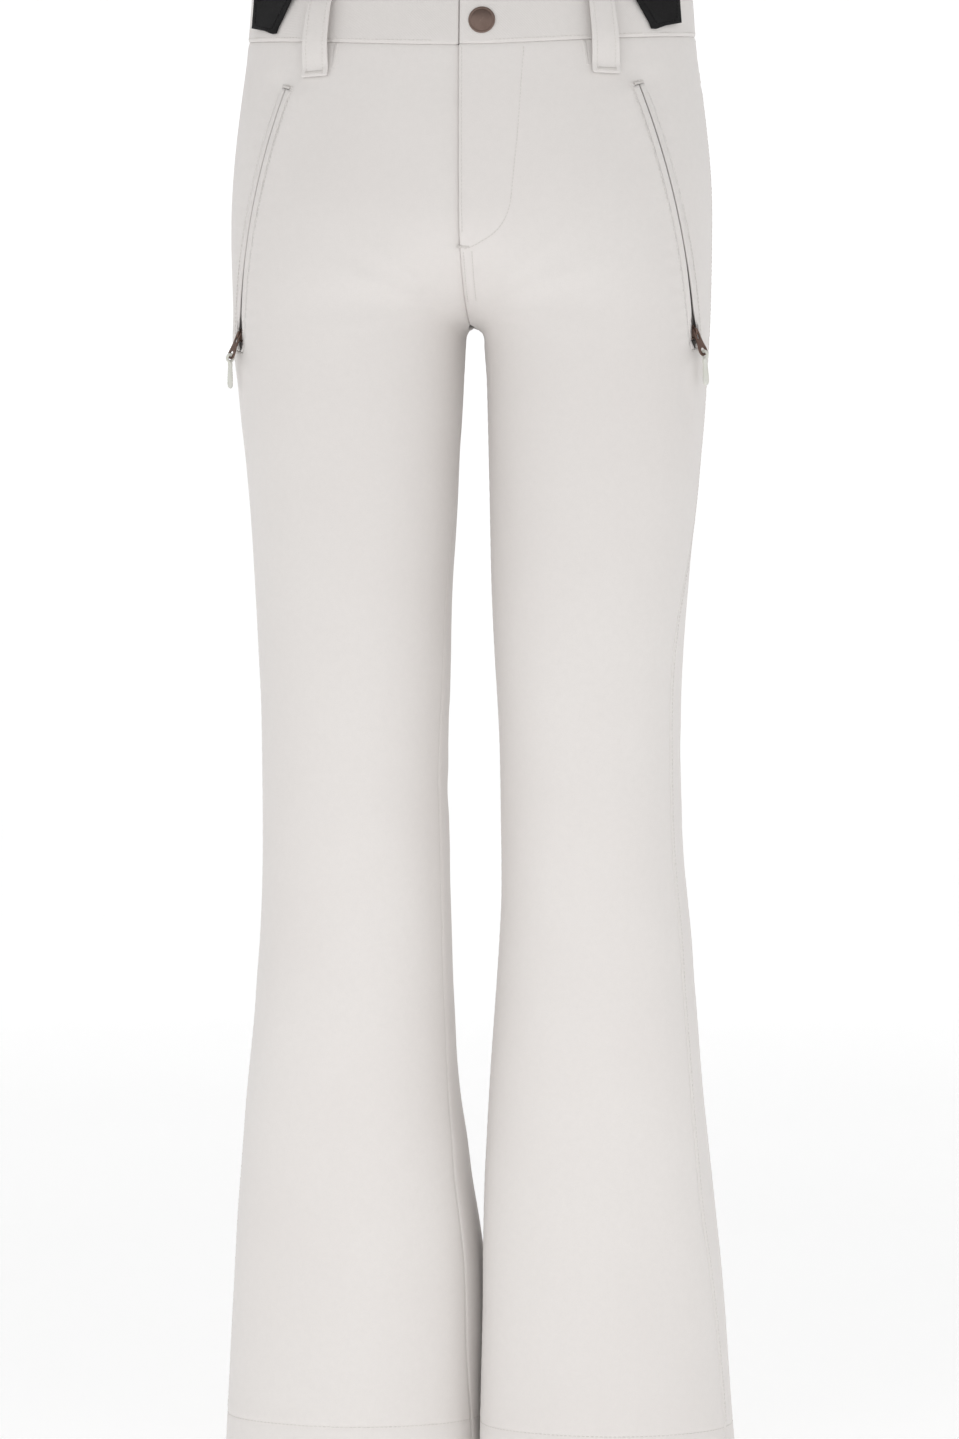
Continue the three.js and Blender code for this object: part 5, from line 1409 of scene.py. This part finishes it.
for side in (1, -1):
    pts, n0, b0 = loop_path(side, 0, lambda h, sd=side: u_of_x(sd, 1010 + h, 99.4 - 0.11 * h))
    belt_loop(f"belt_loop_front_{NAME[side]}", pts, n0, b0)
    pts, n0, b0 = loop_path(side, 1, lambda h: 0.4)
    belt_loop(f"belt_loop_back_{NAME[side]}", pts, n0, b0)
pts, n0, b0 = loop_path(1, 1, None, back=True)
belt_loop("belt_loop_back_centre", pts, n0, b0)

# ------------------------------------------------------------------ braces
def lerp(a, b, t):
    return a + (b - a) * t


def brace(side):
    nm = NAME[side]
    uc = u_of_x(side, 1040, 133)
    top = float(seam_z(uc)) + BAND_H
    n = nrm(side, 0, uc, top - 12)
    b = unit(np.cross([0, 0, 1], n))
    flat = unit([n[0], n[1], 0])
    F = []
    base = lambda z: surf(side, 0, uc, z)
    for h in (33, 26, 18, 9, 1):
        F.append((base(top - h) + n * 2.2, n, b))
    e = base(top)
    r0, r1 = 2.2, -8.8
    c = e + flat * (r0 + r1) / 2 + np.array([0, 0, 1.0])
    r = (r0 - r1) / 2
    for a in (30, 70, 110, 150):
        q = math.radians(a)
        m = unit(flat * math.cos(q) + np.array([0, 0, 1.0]) * math.sin(q))
        F.append((c + m * r, m, b))
    P0 = e + flat * r1 + np.array([0, 0, -2.0])
    back_y = surf(side, 1, 1.0, 1062)[1]
    P3 = np.array([side * 24, back_y - 9.6, 1064])
    P1 = P0 + np.array([0, 0, -250.0]) + flat * -4
    P2 = P3 + np.array([0, -10, -290.0])
    for i in range(23):
        t = i / 22
        s = 1 - t
        p = s**3 * P0 + 3 * s * s * t * P1 + 3 * s * t * t * P2 + t**3 * P3
        T = unit(3 * s * s * (P1 - P0) + 6 * s * t * (P2 - P1) + 3 * t * t * (P3 - P2))
        k = float(sstep(t))
        bb = unit(lerp(b, np.array([np.sign(b[0] or 1), 0, 0]), k))
        bb = unit(bb - T * (bb @ T))
        F.append((p, unit(np.cross(T, bb)), bb))
    P = np.array([f[0] for f in F])
    N = [f[1] for f in F]
    for i in range(1, len(N)):
        if N[i] @ N[i - 1] < 0:
            N[i] = -N[i]
    N, B = np.array(N), np.array([f[2] for f in F])
    # finer frames on a smooth curve; the weave's ribs are real
    s = np.concatenate([[0], np.cumsum(np.linalg.norm(np.diff(P, axis=0), axis=1))])
    fine = smooth_line(P, 10)
    fs = np.concatenate([[0], np.cumsum(np.linalg.norm(np.diff(fine, axis=0), axis=1))])
    q = np.arange(0, fs[-1], 0.85)
    pts = np.stack([np.interp(q, fs, fine[:, k]) for k in range(3)], 1)
    key = np.interp(np.linspace(0, len(P) - 1, len(fine)), np.arange(len(P)), s)
    qs = np.interp(q, fs, key)
    NN = unit(np.stack([np.interp(qs, s, N[:, k]) for k in range(3)], 1))
    BB = unit(np.stack([np.interp(qs, s, B[:, k]) for k in range(3)], 1))
    tt = unit(np.gradient(pts, axis=0))
    NN = unit(NN - (NN * tt).sum(1, keepdims=True) * tt)
    BB = unit(BB - (BB * tt).sum(1, keepdims=True) * tt)
    # which edge is nearer the centre front
    in_low = abs((pts[2] - BB[2] * 19)[0]) < abs((pts[2] + BB[2] * 19)[0])
    prof = []
    for i in range(len(pts)):
        rp = rrect(-19, 19, -0.72, 0.72, 0.5, 3, mids=5)
        ribs = 1.0 + (0.13 if i % 2 else -0.10)
        rp[:, 1] *= ribs
        # the sewn end narrows from its inner edge
        cut_in = 17.5 * float(np.interp(q[i], [0, 4, 34], [1.0, 0.93, 0.0]))
        u_ = (rp[:, 0] + 19) / 38
        more = float(np.interp(q[i], [0, 36, 75], [1.0, 1.0, 0.0]))
        edge_in, edge_out = 19 + 8.5 * more - cut_in * 1.3, 19 + 5.5 * more
        lo_, hi_ = (-edge_in, edge_out) if in_low else (-edge_out, edge_in)
        rp[:, 0] = lo_ + (hi_ - lo_) * u_
        prof.append(rp)
    rings = tube(pts, NN, BB, prof)
    # the end is cut on a slant, higher towards the side of the body
    k_end = np.interp(q, [0, 14], [1.0, 0.0])
    wide = np.array([r[:, 0] for r in prof])
    out_ = (wide if in_low else -wide) / 19.0
    rings = rings + tt[:, None] * (6.5 * k_end[:, None] * np.clip(out_, 0, 1))[..., None]
    ob = sweep(f"brace_webbing_{nm}", rings)
    piece(ob, "webbing", nodes=[f"brace_strap_{nm}"])
    # the strap's box stitch on the waistband
    saved = list(STITCHES)
    STITCHES.clear()
    i0 = int(np.argmin(np.linalg.norm(pts - P[0], axis=1)))
    def at(q, w, up=0.95):
        return np.array([np.interp(q, fs_q, pts[:, k] + BB[:, k] * w + NN[:, k] * up) for k in range(3)])
    fs_q = q
    line = lambda a, w0, bq, w1: stitch_line(np.array([at(a + (bq - a) * t, w0 + (w1 - w0) * t) for t in np.linspace(0, 1, 16)]), np.repeat(NN[4][None], 16, 0), pitch=2.6, length=2.1, r=0.26, lift=0.1)
    so = 1 if in_low else -1
    line(3.0, so * 1.0, 8.0, so * 20.0)
    line(8.0, so * 20.0, 26, so * 21.5)
    line(26, so * 21.5, 26, so * -17.0)
    line(26, so * -17.0, 3.0, so * 1.0)
    st = flush_stitches(f"brace_box_stitch_{nm}")
    piece(st, "webbing")
    STITCHES.extend(saved)


brace(1)
brace(-1)


# ------------------------------------------------------------------ anchor patch and label inside the back
def x_grid(xs, zs, d):
    U = np.zeros((len(zs), len(xs)))
    P = np.zeros((len(zs), len(xs), 3))
    for i, z in enumerate(zs):
        for j, x in enumerate(xs):
            sd = -1 if x < 0 else 1
            zz = z(x, sd) if callable(z) else z
            u = u_of_x(sd, zz, abs(x), 1)
            P[i, j] = surf(sd, 1, u, zz) + nrm(sd, 1, u, zz) * (d(i, j) if callable(d) else d)
    return P


def band_z(h):
    def f(x, sd):
        u = u_of_x(sd, 1040, abs(x), 1)
        return float(seam_z(1 + u)) + BAND_H * h
    return f


xs = np.concatenate([[-45.8, -45.3, -44.5], np.linspace(-42, 42, 25), [44.5, 45.3, 45.8]])
hz = [0.125, 0.14, 0.165] + list(np.linspace(0.21, 0.73, 9)) + [0.775, 0.80, 0.815]
rim = lambda i, j, I, J: (0 if min(i, I - 1 - i, j, J - 1 - j) > 1 else (0.40, 0.12)[min(i, I - 1 - i, j, J - 1 - j)])
I, J = len(hz), len(xs)
outer = x_grid(xs, [band_z(h) for h in hz], lambda i, j: -4.95 - rim(i, j, I, J))
inner = x_grid(xs, [band_z(h) for h in hz], lambda i, j: -6.05 + rim(i, j, I, J))
piece(slab("brace_anchor_cloth", outer, inner), "webbing", nodes=["brace_anchor_patch"])
xs = np.concatenate([[-17.9, -17.5], np.linspace(-16.5, 16.5, 19), [17.5, 17.9]])
zs = np.concatenate([[985.1, 985.5], np.linspace(986.5, 1008.5, 13), [1009.5, 1009.9]])
fold = lambda i, j: 0.05 * math.sin(j * 0.8) * math.sin(i * 0.5)
piece(slab("blank_label", x_grid(xs, zs, lambda i, j: -2.62 + fold(i, j)), x_grid(xs, zs, lambda i, j: -2.98 + fold(i, j))), "label", nodes=["size_label"])

# ------------------------------------------------------------------ zip sliders and pulls
def rounded_plate(name, outline, z0, z1, holes=(), place=None, bevel=0.18):
    """A stamped plate from an outline in millimetres, with holes, its edges broken."""
    cu = bpy.data.curves.new(name, "CURVE")
    cu.dimensions = "2D"
    cu.fill_mode = "BOTH"
    for loop in [outline] + list(holes):
        sp_ = cu.splines.new("POLY")
        sp_.points.add(len(loop) - 1)
        for i, (x, y) in enumerate(loop):
            sp_.points[i].co = (x, y, 0, 1)
        sp_.use_cyclic_u = True
    cu.extrude = (z1 - z0) / 2 - bevel
    cu.bevel_depth = bevel
    cu.bevel_resolution = 2
    ob = bpy.data.objects.new(name + "_c", cu)
    COLL.objects.link(ob)
    dg = bpy.context.evaluated_depsgraph_get()
    me = bpy.data.meshes.new_from_object(ob.evaluated_get(dg))
    bpy.data.objects.remove(ob)
    v = np.array([q.co[:] for q in me.vertices])
    v[:, 2] += (z0 + z1) / 2
    o, bx, ty, nz = place
    co = W(o + v[:, :1] * bx + v[:, 1:2] * ty + v[:, 2:] * nz)
    me.vertices.foreach_set("co", co.astype(np.float32).ravel())
    import bmesh
    bm = bmesh.new()
    bm.from_mesh(me)
    bmesh.ops.remove_doubles(bm, verts=bm.verts, dist=2e-6)
    bmesh.ops.recalc_face_normals(bm, faces=bm.faces)
    bm.to_mesh(me)
    bm.free()
    me.name = name
    out = bpy.data.objects.new(name, me)
    COLL.objects.link(out)
    return out


def arc_pts(cx, cy, r, a0, a1, k):
    return [(cx + r * math.cos(a), cy + r * math.sin(a)) for a in np.radians(np.linspace(a0, a1, k))]


TAB_OUT = smooth_line([(-2.2, 0.7), (-2.6, -1.5), (-2.7, -4), (-2.9, -8), (-3.5, -11.5), (-4.1, -14.5), (-4.0, -16.6), (-2.8, -18.4), (0, -18.95), (2.8, -18.4), (4.0, -16.6), (4.1, -14.5),
                       (3.5, -11.5), (2.9, -8), (2.7, -4), (2.6, -1.5), (2.2, 0.7), (0, 1.1), (-2.2, 0.7)], 4)[:-1]
for side in (1, -1):
    nm = NAME[side]
    arc = POCKET[side]
    p, n_, t_ = arc.at(-arc.half + 8 / arc.R, -3.9)
    b_ = arc.b
    # slider body: a rounded shield with side flanges and a bridge for the tab
    shield = smooth_line([(-2.6, 4.7), (-4.3, 3.2), (-4.35, 0), (-3.6, -3.2), (-2.2, -4.6), (0, -4.9), (2.2, -4.6), (3.6, -3.2), (4.35, 0), (4.3, 3.2), (2.6, 4.7), (0.9, 4.3), (0, 3.4), (-0.9, 4.3),
                          (-2.6, 4.7)], 4)[:-1]
    plate = rounded_plate("plate", [tuple(v) for v in shield], 1.2, 2.3, place=(p, b_, t_, n_))
    parts_ = [plate]
    for sx in (1, -1):
        fl_pts = np.array([p + b_ * sx * (3.7 - 0.35 * abs(y) * 0.25) + t_ * y for y in np.linspace(-3.0, 3.6, 10)])
        parts_.append(sweep("flange", tube(fl_pts, np.repeat(n_[None], 10, 0), np.repeat(b_[None], 10, 0), rrect(-0.45, 0.45, -0.6, 1.35, 0.2, 3))))
    br = smooth_line([(-3.5, 2.0), (-3.4, 3.6), (-2.6, 5.0), (-1.0, 5.75), (0.8, 5.95), (2.6, 5.6), (3.5, 4.4), (3.6, 2.0)], 5)
    bp = np.array([p + t_ * y + n_ * z for y, z in br])
    tt = unit(np.gradient(bp, axis=0))
    nn = np.cross(np.repeat(b_[None], len(bp), 0), tt)
    parts_.append(sweep("bridge", tube(bp, nn, np.repeat(b_[None], len(bp), 0), rrect(-0.7, 0.7, -0.35, 0.4, 0.22, 3))))
    piece(join(f"pocket_slider_cast_{nm}", parts_), "bronze", f"{nm}_pocket_slider", [f"pocket_slider_{nm}"])
    # tab: a flat stamped pull with a long slot, leaning off the cloth
    h = p + t_ * 1.9 + n_ * 4.85
    tilt = 0.4
    tt_ = t_ * math.cos(tilt) - n_ * math.sin(tilt)
    tn_ = n_ * math.cos(tilt) + t_ * math.sin(tilt)
    slot_ = arc_pts(0, -1.7, 1.35, 0, 180, 9) + arc_pts(0, -5.6, 1.35, 180, 360, 9)
    eye = arc_pts(0, -15.2, 2.2, 0, 360, 25)[:-1]
    tab = rounded_plate(f"pocket_tab_stamped_{nm}", [tuple(v) for v in TAB_OUT], -0.42, 0.42, [slot_, eye], (h, b_, tt_, tn_), 0.14)
    piece(tab, "bronze", f"{nm}_pocket_tab", [f"pocket_pull_{nm}"])
    # cord loop through the eye, and the moulded grip it is set in
    c = h - tt_ * 18.3
    loop_c = []
    for a in np.linspace(0, 2 * math.pi, 49)[:-1]:
        loop_c.append(c + t_ * 2.55 * math.cos(a) + n_ * 2.45 * math.sin(a))
    loop_c = np.array(loop_c)
    rad = unit(loop_c - c)
    rings = []
    for i in range(len(loop_c)):
        q = np.linspace(0, 2 * math.pi, 12, endpoint=False)
        twist = 1 + 0.06 * np.sin(3 * q + i * 1.3)
        rings.append(loop_c[i] + np.outer(np.cos(q) * 1.0 * twist, rad[i]) + np.outer(np.sin(q) * 1.0 * twist, b_))
    ring = sweep("loop", np.array(rings), closed=True)
    ys = np.array([-2.3, -2.5, -2.9, -3.5, -4.5, -5.7, -6.8, -8, -10, -13, -16, -18.6, -20.3, -21.5, -22.2, -22.45])
    hw = np.array([0.8, 1.2, 1.5, 1.75, 1.85, 1.85, 1.8, 1.95, 2.15, 2.3, 2.45, 2.5, 2.35, 1.9, 1.2, 0.5])
    hl = np.array([0.6, 0.85, 1.0, 1.1, 1.15, 1.15, 1.0, 1.1, 1.2, 1.3, 1.35, 1.35, 1.25, 1.0, 0.7, 0.3])
    yy = np.linspace(0, 1, 70)
    yi = np.interp(yy, np.linspace(0, 1, len(ys)), ys)
    hwi, hli = 1.14 * np.interp(yy, np.linspace(0, 1, len(ys)), hw), 1.1 * np.interp(yy, np.linspace(0, 1, len(ys)), hl)
    q = np.linspace(0, 2 * math.pi, 28, endpoint=False)
    rings = []
    for y, a_, l_ in zip(yi, hwi, hli):
        groove = 1 - 0.08 * (1 if -18 < y < -9 and math.sin(y * math.pi) > 0.2 else 0)
        rings.append(c + t_ * y + np.outer(spow(np.cos(q), 0.72) * a_ * groove, b_) + np.outer(spow(np.sin(q), 0.72) * l_ * groove, n_))
    grip = sweep("grip", np.array(rings))
    piece(join(f"pocket_cord_grip_{nm}", [ring, grip]), "rubber", f"{nm}_pocket_cord", [f"pocket_cord_pull_{nm}"])

# ------------------------------------------------------------------ all the topstitching that is sewn to the garment
st = flush_stitches("topstitching")
piece(st, "thread")

# ------------------------------------------------------------------ CAD metal that stays: finish only
for node, m in (("pocket_zip_stop_left", "bronze"), ("pocket_zip_stop_right", "bronze"), ("fly_slider", "bronze"), ("fly_pull", "bronze"), ("fly_bottom_stop", "bronze"),
                ("brace_adjuster_left", "steel"), ("brace_adjuster_right", "steel")):
    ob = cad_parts[node]
    ob.data.materials.clear()
    ob.data.materials.append(MAT[m])

# ------------------------------------------------------------------ studio
prof = [(0.6, 0), (1.4, 0), (2.4, 0), (3.6, 0), (4.8, 0), (5.6, 0)]
for a in np.radians(np.linspace(8, 90, 10)):
    prof.append((5.6 + 2.4 * math.sin(a), 2.4 - 2.4 * math.cos(a)))
prof += [(8, 3.8), (8, 5.4)]
ang = np.linspace(0, 2 * math.pi, 97)[:-1]
v = [(0, 0, -0.0004)] + [(r * math.cos(a), r * math.sin(a), z - 0.0004) for r, z in prof for a in ang]
f = [(0, 1 + j, 1 + (j + 1) % 96) for j in range(96)]
for i in range(len(prof) - 1):
    for j in range(96):
        a, b = 1 + i * 96 + j, 1 + i * 96 + (j + 1) % 96
        f.append((a, a + 96, b + 96, b))
cyc = new_object("studio_sweep", np.array(v), f)
cyc.data.materials.append(MAT["studio"])

world = bpy.data.worlds.new("studio_world")
bpy.context.scene.world = world
world.use_nodes = True
world.node_tree.nodes["Background"].inputs["Color"].default_value = (1, 1, 1, 1)
world.node_tree.nodes["Background"].inputs["Strength"].default_value = 0.40


def light(name, loc, aim, size, power, size_y=None):
    ld = bpy.data.lights.new(name, "AREA")
    ld.shape = "RECTANGLE"
    ld.size, ld.size_y = size, size_y or size
    ld.energy = power
    ob = bpy.data.objects.new(name, ld)
    COLL.objects.link(ob)
    ob.location = loc
    d = Vector(aim) - Vector(loc)
    ob.rotation_euler = d.to_track_quat("-Z", "Y").to_euler()
    return ob


light("key", (-1.9, -3.4, 2.5), (0, 0, 0.65), 2.6, 4)
light("fill", (2.6, -3.0, 1.2), (0, 0, 0.5), 2.4, 3)
low = light("low", (0.05, -0.92, 0.19), (0.05, 0, 0.19), 1.5, 1.6, 0.25)
low.visible_camera = False
bpy.context.scene.view_settings.view_transform = "Standard"
